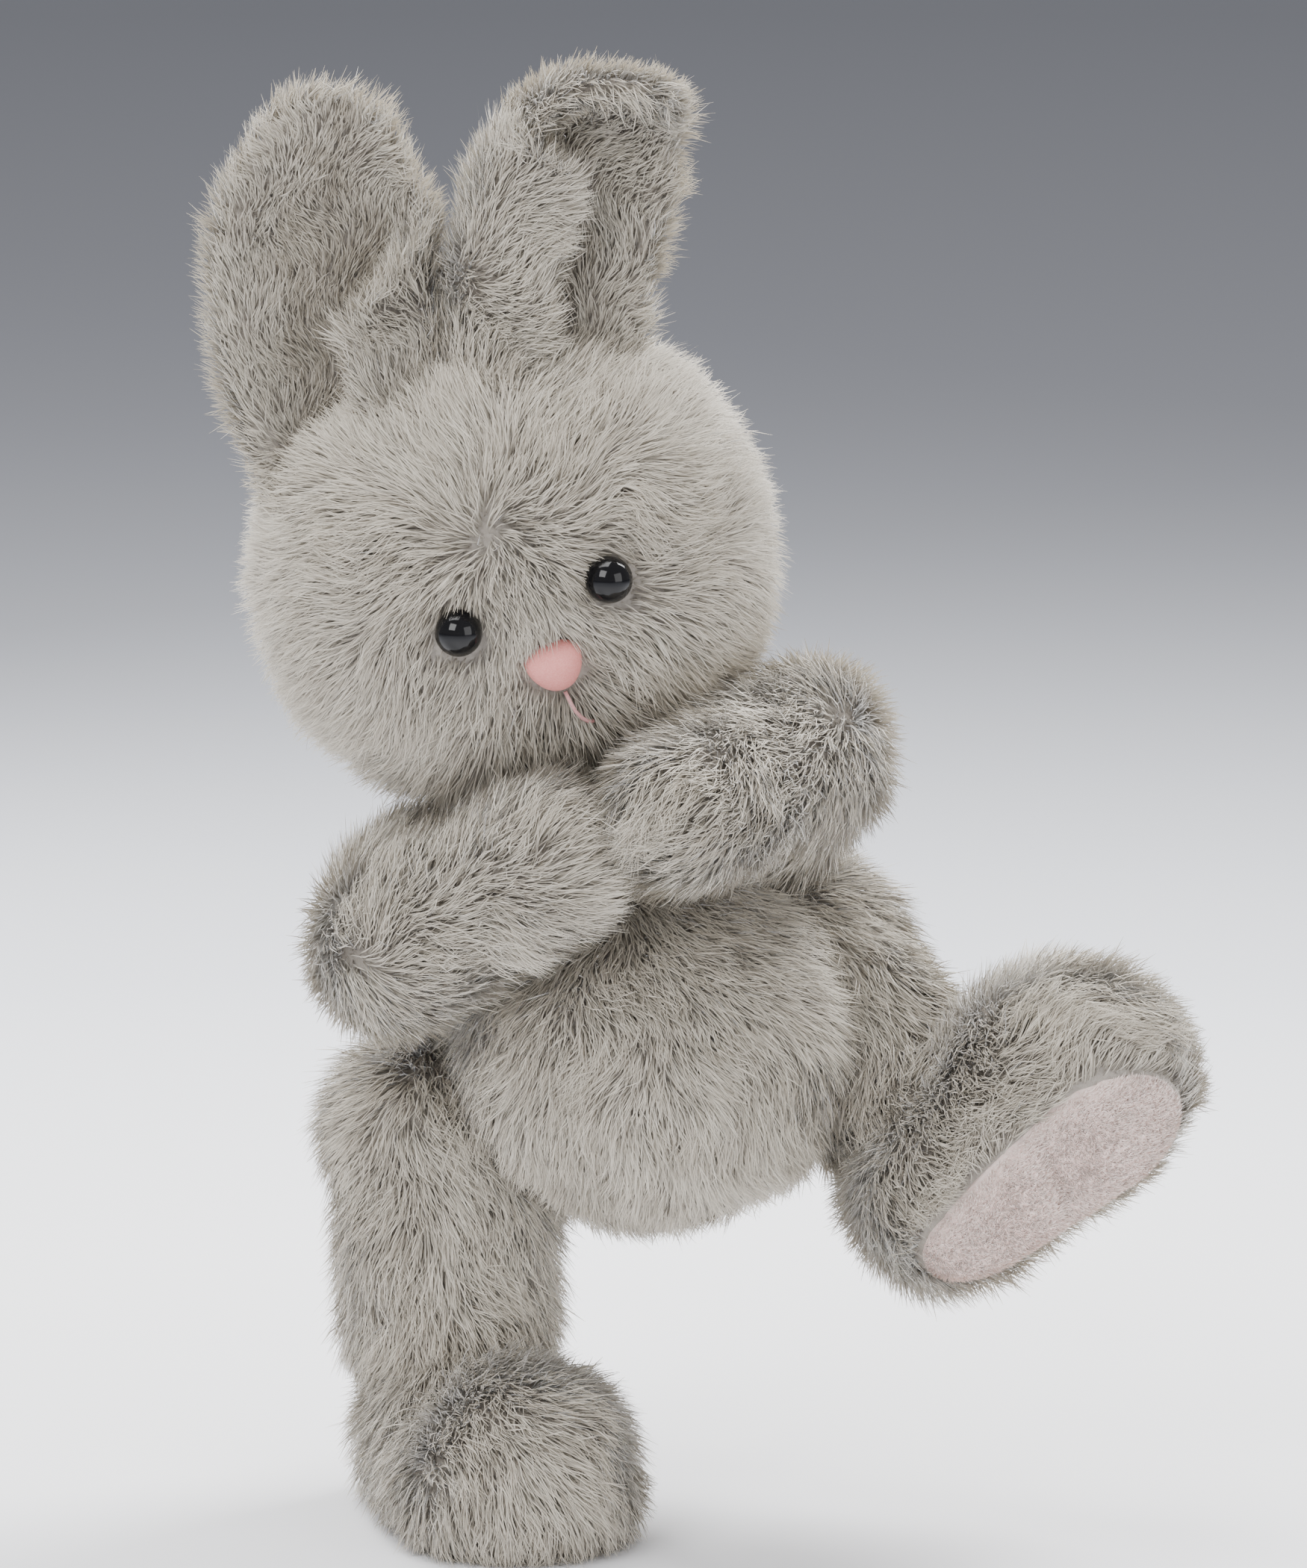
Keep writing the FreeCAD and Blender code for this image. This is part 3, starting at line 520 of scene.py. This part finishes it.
# ---------------------------------------------------------------- torso
leg_radius, arm_radius = 22.5 * MM, 18.0 * MM
torso = form("torso_skin", [
    [(belly, vec(48, 45, 42) * MM), (chest, 27 * MM)],
    [(belly + vec(0, -2, -2) * MM, vec(48.5, 46, 41) * MM)],
])
lumpy(torso, 0.7 * MM, 34 * MM, 3)
for s in ("right", "left"):
    press_out(torso, hip[s], ankle[s], leg_radius + 0.5 * MM)
    press_out(torso, shoulder[s], elbow[s], arm_radius + 0.5 * MM)
    press_out(torso, elbow[s], hand[s], arm_radius + 0.3 * MM)


def torso_flow(p, n):
    throat = chest + vec(2, -26, 22) * MM
    return unit(p - throat) + vec(0.05, 0, -0.55)


def torso_tune(p, n, lengths, leans):
    near = np.full(len(p), 1.0)
    for s in ("right", "left"):
        limbs = (
            (hip[s], ankle[s], leg_radius), (shoulder[s], elbow[s], arm_radius), (elbow[s], hand[s], arm_radius),
        )
        for a, b, r in limbs:
            near = np.minimum(near, segment_distance(p, a, b) - r)
    # Near a limb lying on the torso the hairs get shorter, lie flatter and take a darker tone; the darker tone
    # is painted shade between the parts.
    covered_and_shaded = np.clip(1 - near / (6 * MM), 0, 1)
    return lengths * (1 - 0.35 * covered_and_shaded), leans + 0.45 * covered_and_shaded, 0.5 - 0.22 * covered_and_shaded


finish_skin(torso, "torso", ["torso_cover", "torso_stuffing"])
coat(torso, torso_flow, 101, "torso", tune=torso_tune)

tail_middle = box_middle("tail") + unit(belly - box_middle("tail")) * 4 * MM
tail = form("tail_skin", [[(tail_middle, 13 * MM)]], 1.6 * MM, 3)
finish_skin(tail, "torso", ["tail"])
coat(tail, lambda p, n: p - belly, 131, "torso", length=12 * MM, lean=0.6)


# ---------------------------------------------------------------- head
head_skin = form("head_skin", [
    [(head - head_side * 12.5 * MM, head_radius * MM), (head + head_side * 8 * MM, head_radius * MM)],
    [(head - head_side * 16 * MM - head_up * 8 * MM + front * 6 * MM, 44 * MM),
     (head + head_side * 13 * MM - head_up * 8 * MM + front * 6 * MM, 44 * MM)],
])
for s in ("right", "left"):
    socket = eye[s]
    co = get_points(head_skin.data)
    gap = np.linalg.norm(co - socket, axis=1)
    dip = np.clip(1 - gap / (15 * MM), 0, 1) ** 2
    set_points(head_skin.data, co + unit(head - socket)[None, :] * (dip * 4 * MM)[:, None])
lumpy(head_skin, 0.7 * MM, 40 * MM, 5)
for s in ("right", "left"):
    press_out(head_skin, elbow[s], hand[s], 16.5 * MM)

bridge = (eye["right"] + eye["left"]) / 2 + head_up * 20 * MM - head_side * 5 * MM


def head_flow(p, n):
    out = unit(p - bridge)
    below = np.clip(-((p - nose_at) @ head_up) / (10 * MM), 0, 1)
    from_nose = unit(p - nose_at)
    return out * (1 - 0.6 * below)[:, None] + from_nose * (0.6 * below)[:, None] + vec(0, 0, -0.12)


def head_keep(p, n):
    good = np.ones(len(p), bool)
    for s in ("right", "left"):
        good &= np.linalg.norm(p - eye[s], axis=1) > 7.2 * MM
    good &= np.linalg.norm(p - nose_at, axis=1) > 7.6 * MM
    return good


def head_tune(p, n, lengths, leans):
    gap = np.minimum(
        np.minimum(np.linalg.norm(p - eye["right"], axis=1), np.linalg.norm(p - eye["left"], axis=1)),
        np.linalg.norm(p - nose_at, axis=1),
    )
    near = np.clip(1 - (gap - 7 * MM) / (9 * MM), 0, 1)
    muzzle = np.clip(1 - np.linalg.norm(p - (bridge - head_up * 14 * MM), axis=1) / (34 * MM), 0, 1)
    crown = np.clip(1 - np.linalg.norm(p - bridge, axis=1) / (26 * MM), 0, 1)
    lengths = lengths * (1 - 0.50 * near - 0.12 * muzzle)
    # The darker tone near the eyes and nose is painted shade around the sunken eye sockets and the nose.
    return lengths, leans + 0.30 * near - 0.50 * crown, 0.50 - 0.18 * near


finish_skin(head_skin, "head", ["head_cover", "head_stuffing"])
coat(head_skin, head_flow, 201, "head", keep=head_keep, tune=head_tune)


# ---------------------------------------------------------------- eyes, nose, mouth
def dome(name, centre, out, radius, look, body, node, squash=1.0):
    bm = bmesh.new()
    bmesh.ops.create_uvsphere(bm, u_segments=64, v_segments=40, radius=radius)
    mesh = bpy.data.meshes.new(name)
    bm.to_mesh(mesh)
    bm.free()
    mesh.polygons.foreach_set("use_smooth", [True] * len(mesh.polygons))
    co = get_points(mesh)
    out = unit(out)
    x = unit(np.cross(out, vec(0, 0, 1)))
    y = np.cross(out, x)
    set_points(mesh, centre + co[:, :1] * x + co[:, 1:2] * y + co[:, 2:] * squash * out)
    mesh.materials.append(look)
    obj = link(name, mesh)
    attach(obj, body)
    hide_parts(node)
    return obj


def head_normal(p):
    across = np.clip((p - head) @ head_side, -head_half_span * MM, head_half_span * MM)
    return unit(p - head - head_side * across)


for s in ("right", "left"):
    out = head_normal(eye[s])
    dome(f"eye_{s}_dome", eye[s] + out * 1 * MM, out, 6.0 * MM, eye_gloss, "head", f"eye_{s}")

nose_out = head_normal(nose_at)
nose_seat = on_face(2.2, -20.6, 0)
nose_x = unit(head_side - nose_out * (head_side @ nose_out))
nose_y = np.cross(nose_out, nose_x)
if nose_y @ head_up < 0:
    nose_y = -nose_y
rings, around = 16, 72
verts, faces = [], []
for i in range(rings + 1):
    t = i / rings
    for k in range(around):
        a = 2 * math.pi * k / around
        point = 0.5 + 0.5 * math.sin(a)
        wide = 7.6 * MM * abs(math.cos(a)) ** 0.9 * (0.80 + 0.30 * point) * (1 if math.cos(a) > 0 else -1)
        tall = math.sin(a) * (5.9 * MM if math.sin(a) > 0 else 7.6 * MM)
        r = math.sin(t * math.pi / 2) ** 0.9
        rise = 1.0 * MM + 6.2 * MM * math.cos(t * math.pi / 2) ** 0.85
        verts.append(nose_seat + nose_x * wide * r + nose_y * tall * r + nose_out * rise)
for i in range(rings):
    for k in range(around):
        j = (k + 1) % around
        faces.append((i * around + k, i * around + j, (i + 1) * around + j, (i + 1) * around + k))
mesh = bpy.data.meshes.new("nose_pad")
mesh.from_pydata([tuple(v) for v in verts], [], faces)
bm = bmesh.new()
bm.from_mesh(mesh)
bmesh.ops.remove_doubles(bm, verts=bm.verts, dist=0.02 * MM)
bmesh.ops.recalc_face_normals(bm, faces=bm.faces)
bm.to_mesh(mesh)
bm.free()
mesh.polygons.foreach_set("use_smooth", [True] * len(mesh.polygons))
mesh.materials.append(nose_flock)
nose = link("nose_pad", mesh)
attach(nose, "head")
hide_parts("nose")


def tube(name, path, radius, look, body, sides=8):
    path = np.array(path)
    verts, faces = [], []
    tangents = unit(np.gradient(path, axis=0))
    helper = vec(0.3, 0.2, 0.93)
    for p, t in zip(path, tangents):
        x = unit(np.cross(t, helper))
        y = np.cross(t, x)
        for k in range(sides):
            a = 2 * math.pi * k / sides
            verts.append(p + (x * math.cos(a) + y * math.sin(a)) * radius)
    for i in range(len(path) - 1):
        for k in range(sides):
            j = (k + 1) % sides
            faces.append((i * sides + k, i * sides + j, (i + 1) * sides + j, (i + 1) * sides + k))
    faces.append(tuple(range(sides))[::-1])
    faces.append(tuple((len(path) - 1) * sides + k for k in range(sides)))
    mesh = bpy.data.meshes.new(name)
    mesh.from_pydata([tuple(v) for v in verts], [], faces)
    mesh.polygons.foreach_set("use_smooth", [True] * len(mesh.polygons))
    mesh.materials.append(look)
    obj = link(name, mesh)
    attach(obj, body)
    return obj


mouth_places = [
    (2.2, -27.5, 3.6), (2.5, -29.5, 5.0), (2.9, -31.5, 6.0),
    (3.8, -33.4, 6.4), (5.0, -34.9, 6.4), (6.0, -35.6, 5.8),
]
mouth = tube("mouth_thread", [on_face(*p) for p in mouth_places], 0.5 * MM, mouth_thread, "head")
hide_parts("mouth_stitch")


# ---------------------------------------------------------------- arms
def arm(s, seed):
    skin = form(f"arm_{s}_skin", [
        [(shoulder[s], 16.8 * MM), (elbow[s], 18.4 * MM)],
        [(elbow[s], 18.6 * MM), (hand[s], 16.3 * MM)],
    ], 2.2 * MM, 10)
    lumpy(skin, 0.7 * MM, 30 * MM, seed)

    def flow(p, n):
        t = np.clip((p - elbow[s]) @ (reach[s] - upper[s]) / (30 * MM), -1, 1)
        blend = (t + 1)[:, None] / 2
        whorl = unit(p - (elbow[s] + upper[s] * 12 * MM))
        return (upper[s] * (1 - blend) + reach[s] * blend) * 0.9 + whorl * 0.75 + vec(0, 0, -0.10)

    # The arm's pile starts from a lighter tone than the torso's: painted light, making up for the light the arms
    # lack.
    coat_obj = coat(skin, flow, seed, None, shade=0.60, pull=0.42)
    finish_skin(skin, None, [
        f"upper_arm_cover_{s}", f"upper_arm_stuffing_{s}", f"forearm_cover_{s}", f"forearm_stuffing_{s}",
    ])
    for obj in (skin, coat_obj):
        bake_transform(obj)


arm("right", 301)
arm("left", 351)


# ---------------------------------------------------------------- legs and feet
def leg(s, seed):
    down = unit(ankle[s] - hip[s])
    thick = (25.0 if s == "right" else 22.5) * MM
    shift = vec(-1.5, 0, 0) * MM if s == "right" else vec(0, 0, 0)
    ends = [(hip[s] + shift, thick), (ankle[s] + shift, thick - 1.5 * MM)]
    skin = form(f"leg_{s}_skin", [ends], 2.4 * MM, 8)
    lumpy(skin, 0.8 * MM, 30 * MM, seed)
    finish_skin(skin, f"leg_{s}", [f"leg_cover_{s}", f"leg_stuffing_{s}"])

    def flow(p, n):
        return unit(p - (hip[s] - down * 22 * MM)) * 0.5 + down * 0.9

    def tune(p, n, lengths, leans):
        low = np.clip(((p - ankle[s]) @ down + 8 * MM) / (20 * MM), 0, 1)
        # The darker tone towards the ankle is painted shade where the leg goes into the foot.
        return lengths * (1.05 - 0.45 * low), leans, 0.5 - 0.10 * low

    coat(skin, flow, seed, f"leg_{s}", tune=tune, length=12.5 * MM)


def foot(s, seed):
    up, toe, floor = foot_up[s], toe_way[s], floor_point[s]
    heel = floor + up * 17 * MM
    plump = 1.0 if s == "left" else 0.0
    toes = floor + up * (15.5 + 3.5 * plump) * MM + toe * 38 * MM
    top = ankle[s] - up * 12 * MM + toe * 4 * MM
    skin = form(f"foot_{s}_skin", [
        [(heel, 23 * MM), (toes, (27.5 + 2.0 * plump) * MM)],
        [(top, 19.5 * MM), (floor + up * 18 * MM + toe * 16 * MM, 25 * MM)],
    ], 2.2 * MM, 8)
    co = get_points(skin.data)
    height = (co - floor) @ up
    flat = 1.2 * MM
    co += up * np.where(height < flat, flat - height, 0.0)[:, None]
    set_points(skin.data, co)
    lumpy(skin, 0.6 * MM, 30 * MM, seed)
    co = get_points(skin.data)
    height = (co - floor) @ up
    co += up * np.where(height < 0.8 * MM, 0.8 * MM - height, 0.0)[:, None]
    set_points(skin.data, co)
    finish_skin(skin, f"foot_{s}", [f"foot_cover_{s}", f"foot_stuffing_{s}"])

    crown = ankle[s] - up * 4 * MM + toe * 4 * MM

    def flow(p, n):
        near = np.clip(1 - ((p - floor) @ up) / (14 * MM), 0, 1)[:, None]
        return unit(p - crown) + toe * 0.35 - up * (0.30 - 1.3 * plump * near)

    def keep(p, n):
        return ~((n @ up < -0.75) & ((p - floor) @ up < 2.2 * MM))

    def tune(p, n, lengths, leans):
        near = np.clip(1 - ((p - floor) @ up) / (9 * MM), 0, 1)
        # The slightly darker tone near the floor is painted shade under the foot.
        return lengths * (1 - (0.25 + 0.25 * plump) * near), leans + 0.1 * near, 0.5 - 0.05 * near

    coat(skin, flow, seed, f"foot_{s}", keep=keep, tune=tune, floor=0.0 if s == "right" else None)
    sole(s, skin, seed + 9)


def sole(s, skin, seed):
    """A pad inside the foot's edge; on the left foot it is plump and has short nap."""
    up, toe, floor = foot_up[s], toe_way[s], floor_point[s]
    side = np.cross(up, toe)
    node = frame["nodes"][f"sole_pad_{s}"]
    co = get_points(node.data)
    flat = np.stack([(co - floor) @ toe, (co - floor) @ side], 1)
    middle = (flat.min(0) + flat.max(0)) / 2
    around, rings = 96, 22
    angles = np.linspace(0, 2 * math.pi, around, endpoint=False)
    ways = np.stack([np.cos(angles), np.sin(angles)], 1)
    edge = ((flat - middle) @ ways.T).max(0)
    # the outline of a convex set from its widths: the nearest crossing of its support lines
    reach_out = np.array([
        min(edge[k] / max(1e-6, ways[k] @ w) for k in range(around) if ways[k] @ w > 0.2) for w in ways
    ])
    verts, faces = [], []
    for i in range(rings + 1):
        t = i / rings
        for k in range(around):
            p = middle + ways[k] * reach_out[k] * t
            swell = (1 - t ** 6) * (2.6 * MM if s == "left" else 0.0)
            crease = math.exp(-(((p[0] - 25 * MM) + 0.35 * (p[1] + 4 * MM)) / (2.6 * MM)) ** 2)
            swell -= 1.5 * MM * crease * (1 - t ** 4) * (1 if s == "left" else 0)
            edge_roll = 1.2 * MM * max(0.0, (t - 0.9) / 0.1) ** 2
            verts.append(floor + toe * p[0] + side * p[1] - up * (swell - edge_roll - 0.1 * MM))
    for i in range(rings):
        for k in range(around):
            j = (k + 1) % around
            faces.append((i * around + k, i * around + j, (i + 1) * around + j, (i + 1) * around + k))
    last = rings * around
    for k in range(around):
        verts.append(verts[last + k] + up * 1.0 * MM)
    for k in range(around):
        j = (k + 1) % around
        faces.append((last + k, last + j, last + around + j, last + around + k))
    faces.append(tuple(last + around + k for k in range(around)))
    mesh = bpy.data.meshes.new(f"sole_{s}")
    mesh.from_pydata([tuple(v) for v in verts], [], faces)
    bm = bmesh.new()
    bm.from_mesh(mesh)
    bmesh.ops.remove_doubles(bm, verts=bm.verts, dist=0.01 * MM)
    bmesh.ops.recalc_face_normals(bm, faces=bm.faces)
    bm.to_mesh(mesh)
    bm.free()
    mesh.polygons.foreach_set("use_smooth", [True] * len(mesh.polygons))
    mesh.materials.append(sole_cloth)
    pad = link(f"sole_{s}", mesh)
    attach(pad, f"foot_{s}")
    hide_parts(f"sole_pad_{s}")
    if s == "left":
        points, normals = surface_points(pad.data, 7.0 * (1.0), seed)
        chosen = normals @ up < -0.5
        points, normals = points[chosen], normals[chosen]
        flow = np.tile(toe * 0.8 - side * 0.6, (len(points), 1))
        nap = strands(
            f"sole_{s}_nap", points, normals, flow, np.full(len(points), 1.7 * MM),
            np.full(len(points), 0.75), 0.22 * MM, seed, sole_nap, "sole_felt",
            clump=1.2 * MM, pull=0.35, swirl=0.4, shade=0.6,
        )
        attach(nap, f"foot_{s}")


leg("right", 401)
leg("left", 431)
foot("right", 461)
foot("left", 491)


# ---------------------------------------------------------------- ears
def ear(s, seed, spine_places, section, turn_front, shade_fade_to_tip, length=9.5 * MM):
    """A long flap. spine_places: (t, x, y, z) from the hinge in mm. section: for each t the outer
    width and curl, then the inner side's flat width, the bend's angle and the inner side's whole width.
    fade: how the painted shade in the hollow thins out towards the tip."""
    hinge = at[f"ear_tip_{s}"]
    wide = axis[f"ear_tip_{s}"]
    inner = wide if (head - hinge) @ wide > 0 else -wide
    outer = -inner * vec(1, 0, 1)
    outer = unit(outer) * math.cos(turn_front) + front * math.sin(turn_front)
    handed = 1.0 if outer[0] > 0 else -1.0
    rows, cols = 52, 65
    ts = np.linspace(0, 1, rows)
    ss = np.linspace(-1, 1, cols)
    places = np.array(spine_places, float)
    spine = np.stack([np.interp(ts, places[:, 0], places[:, k]) for k in (1, 2, 3)], 1) * MM
    for _ in range(30):
        spine[1:-1] = spine[1:-1] * 0.5 + (spine[:-2] + spine[2:]) * 0.25
    spine += hinge
    headings = unit(np.gradient(spine, axis=0))
    table = np.array(section, float)
    bend_radius = 8.0 * MM
    grid = np.zeros((rows, cols, 3))
    push = np.zeros((rows, cols, 3))
    for i, t in enumerate(ts):
        heading = headings[i]
        across = unit(outer - heading * (outer @ heading))
        ahead = np.cross(across, heading) * handed
        out_wide, out_curl, flat, bend, in_wide = [
            np.interp(t, table[:, 0], table[:, k]) for k in range(1, 6)
        ]
        round_top = math.sqrt(max(0.0, 1 - max(0.0, (t - 0.55) / 0.45) ** 2.3))
        for direction in (-1, 1):
            order = sorted((c for c in range(cols) if ss[c] * direction >= 0), key=lambda c: abs(ss[c]))
            place, previous = spine[i].copy(), 0.0
            whole = (out_wide if direction > 0 else in_wide) * max(round_top, 0.04) * MM
            for c in order:
                d = abs(ss[c]) * whole
                middle = (d + previous) / 2
                if direction > 0:
                    angle = math.radians(out_curl) * (middle / max(whole, 1e-6)) ** 1.5
                else:
                    angle = min(math.radians(bend), max(0.0, middle - flat * round_top * MM) / bend_radius)
                run = across * direction * math.cos(angle) + ahead * math.sin(angle)
                place = place + run * (d - previous)
                previous = d
                grid[i, c] = place
                push[i, c] = unit(ahead * math.cos(angle) - across * direction * math.sin(angle))
    grid += push * (wave(grid.reshape(-1, 3), 24 * MM, seed).reshape(rows, cols, 1) * 0.9 * MM)
    thick = np.ones((rows, cols)) * 3.2 * MM
    rim = np.maximum(np.abs(ss)[None, :] ** 5, (ts[:, None]) ** 9)
    thick *= np.sqrt(np.clip(1 - rim, 0.0, 1))
    thick = np.maximum(thick, 0.4 * MM)
    sheet_front = grid + push * thick[:, :, None]
    sheet_back = grid - push * thick[:, :, None]
    verts = np.concatenate([sheet_front.reshape(-1, 3), sheet_back.reshape(-1, 3)])
    faces = []
    off = rows * cols
    for i in range(rows - 1):
        for c in range(cols - 1):
            a, b, d, e = i * cols + c, i * cols + c + 1, (i + 1) * cols + c + 1, (i + 1) * cols + c
            faces.append((a, b, d, e))
            faces.append((off + a, off + e, off + d, off + b))
    for i in range(rows - 1):
        for c in (0, cols - 1):
            a, e = i * cols + c, (i + 1) * cols + c
            faces.append((a, e, off + e, off + a) if c == 0 else (e, a, off + a, off + e))
    for c in range(cols - 1):
        for i in (0, rows - 1):
            a, b = i * cols + c, i * cols + c + 1
            faces.append((b, a, off + a, off + b) if i == 0 else (a, b, off + b, off + a))
    mesh = bpy.data.meshes.new(f"ear_{s}_skin")
    mesh.from_pydata([tuple(v) for v in verts], [], faces)
    bm = bmesh.new()
    bm.from_mesh(mesh)
    bmesh.ops.recalc_face_normals(bm, faces=bm.faces)
    bm.to_mesh(mesh)
    bm.free()
    mesh.polygons.foreach_set("use_smooth", [True] * len(mesh.polygons))
    skin = link(f"ear_{s}_skin", mesh)
    finish_skin(skin, f"ear_{s}", [f"ear_cover_{s}"])
    tree = kdtree.KDTree(rows * cols)
    for i, p in enumerate(grid.reshape(-1, 3)):
        tree.insert(p, i)
    tree.balance()
    sideways = unit(np.gradient(grid, axis=1).reshape(-1, 3))
    lengthways = unit(np.gradient(grid, axis=0).reshape(-1, 3))

    def nearest(p):
        found = np.array([tree.find(q)[1] for q in p])
        return found, ts[found // cols], ss[found % cols]

    def flow(p, n):
        found, t, u = nearest(p)
        return lengthways[found] * 0.9 + sideways[found] * (u * 1.0)[:, None]

    def tune(p, n, lengths, leans):
        found, t, u = nearest(p)
        inside = (np.sum(n * push.reshape(-1, 3)[found], 1) > 0.3).astype(float)
        # Painted shade: hairs in the middle of the ear's front are darker, less so towards the tip. The ears'
        # base tone of 0.74 is lighter than the body's 0.5: painted light, making up for the light the ears lack.
        hollow = np.clip(1.6 - np.abs(u + 0.06) / 0.30, 0, 1)
        hollow_shade = inside * hollow * np.clip(shade_fade_to_tip[0] - t * shade_fade_to_tip[1], 0, 1)
        return lengths * (1 - 0.25 * inside), leans - 0.05 * inside, 0.74 - 0.58 * hollow_shade

    coat(skin, flow, seed, f"ear_{s}", tune=tune, length=length, lean=0.95, clump=2.2 * MM, pull=0.45)


# The last argument of each ear sets how the painted shade in its hollow thins out towards the tip.
ear("right", 601,
    [(0, 3, -6, -24), (0.12, -3, -4, -10), (0.27, -7, -1, 8), (0.5, -9, 1, 31),
     (0.75, -6, 1, 52), (1, 2, -2, 72)],
    [(0, 19, 40, 21, 160, 58), (0.3, 21, 40, 23, 160, 62), (0.5, 21, 35, 21, 120, 45),
     (0.75, 19, 25, 18, 50, 32), (1, 16, 15, 14, 30, 24)], 0.10, (1.9, 1.5))
ear("left", 651,
    [(0, -6, -6, -24), (0.12, -3, -4, -10), (0.27, -1, 0, 9), (0.5, 4, 2, 29),
     (0.68, 8, 1, 43), (0.84, 14, -7, 52), (1, 22, -20, 56)],
    [(0, 19, 40, 16, 165, 54), (0.55, 20, 45, 15, 165, 52), (0.7, 18, 40, 14, 110, 38),
     (0.85, 15, 30, 13, 60, 26), (1, 13, 20, 11, 30, 20)], 0.10, (1.5, 2.2))


# ---------------------------------------------------------------- what stays of the CAD
for name, node in frame["nodes"].items():
    if not node.hide_render:
        node.data.materials.clear()
        node.data.materials.append(plastic)

# ---------------------------------------------------------------- stage, light and camera
def stage_look(nodes, links, bsdf):
    """A pale floor, a little greyer away from the rabbit: a painted pool of light around it."""
    coords = nodes.new("ShaderNodeTexCoord")
    far = nodes.new("ShaderNodeVectorMath")
    far.operation = "LENGTH"
    links.new(coords.outputs["Object"], far.inputs[0])
    share = nodes.new("ShaderNodeMath")
    share.operation = "MULTIPLY"
    share.inputs[1].default_value = 0.2
    links.new(far.outputs["Value"], share.inputs[0])
    shades = ramp(nodes, [
        (0.06, (0.90, 0.905, 0.93)), (0.14, (0.70, 0.72, 0.77)),
        (0.45, (0.54, 0.56, 0.62)), (1.0, (0.40, 0.42, 0.47)),
    ])
    links.new(share.outputs["Value"], shades.inputs["Fac"])
    links.new(shades.outputs["Color"], bsdf.inputs["Base Color"])
    bsdf.inputs["Roughness"].default_value = 0.9


stage_paint = material("stage_paint", stage_look)
around = np.linspace(0, 2 * math.pi, 64, endpoint=False)
verts = [(9 * math.cos(a), 9 * math.sin(a), 0) for a in around]
mesh = bpy.data.meshes.new("stage")
mesh.from_pydata(verts, [], [tuple(range(64))])
mesh.materials.append(stage_paint)
link("stage", mesh)


def area_light(name, place, target, size, power, colour=(1, 1, 1)):
    data = bpy.data.lights.new(name, "AREA")
    data.shape = "SQUARE"
    data.size = size
    data.energy = power
    data.color = colour
    obj = bpy.data.objects.new(name, data)
    obj.location = place
    obj.rotation_euler = (Vector(target) - Vector(place)).to_track_quat("-Z", "Y").to_euler()
    bpy.context.scene.collection.objects.link(obj)


area_light("key", (-0.9, -1.3, 1.3), (0, 0, 0.18), 1.0, 24)
area_light("fill", (1.3, -1.2, 0.7), (0, 0, 0.18), 1.2, 12)
area_light("rim", (0.55, 0.50, 1.0), (-0.02, 0, 0.25), 0.5, 26)
area_light("back", (-0.6, 0.7, 0.7), (0, 0, 0.2), 0.6, 12)
area_light("top", (-0.3, 0.1, 1.3), (0, 0, 0.2), 0.8, 15)
world = bpy.data.worlds.new("world")
world.use_nodes = True
world.node_tree.nodes["Background"].inputs["Color"].default_value = (0.84, 0.83, 0.85, 1)
world.node_tree.nodes["Background"].inputs["Strength"].default_value = 0.45
bpy.context.scene.world = world

data = bpy.data.cameras.new("camera")
camera = bpy.data.objects.new("camera", data)
bpy.context.scene.collection.objects.link(camera)
target = vec(at["ankle_turn_right"][0] + 50.7 * MM, 0, 187.6 * MM)
tilt = math.radians(10)
distance = 2.0
camera.location = target + vec(0, -math.cos(tilt), math.sin(tilt)) * distance
camera.rotation_euler = (math.pi / 2 - tilt, 0, 0)
data.sensor_fit = "VERTICAL"
data.sensor_height = 36
data.lens = 36 * distance / 0.400
data.clip_end = 20
data.dof.use_dof = False
bpy.context.scene.camera = camera
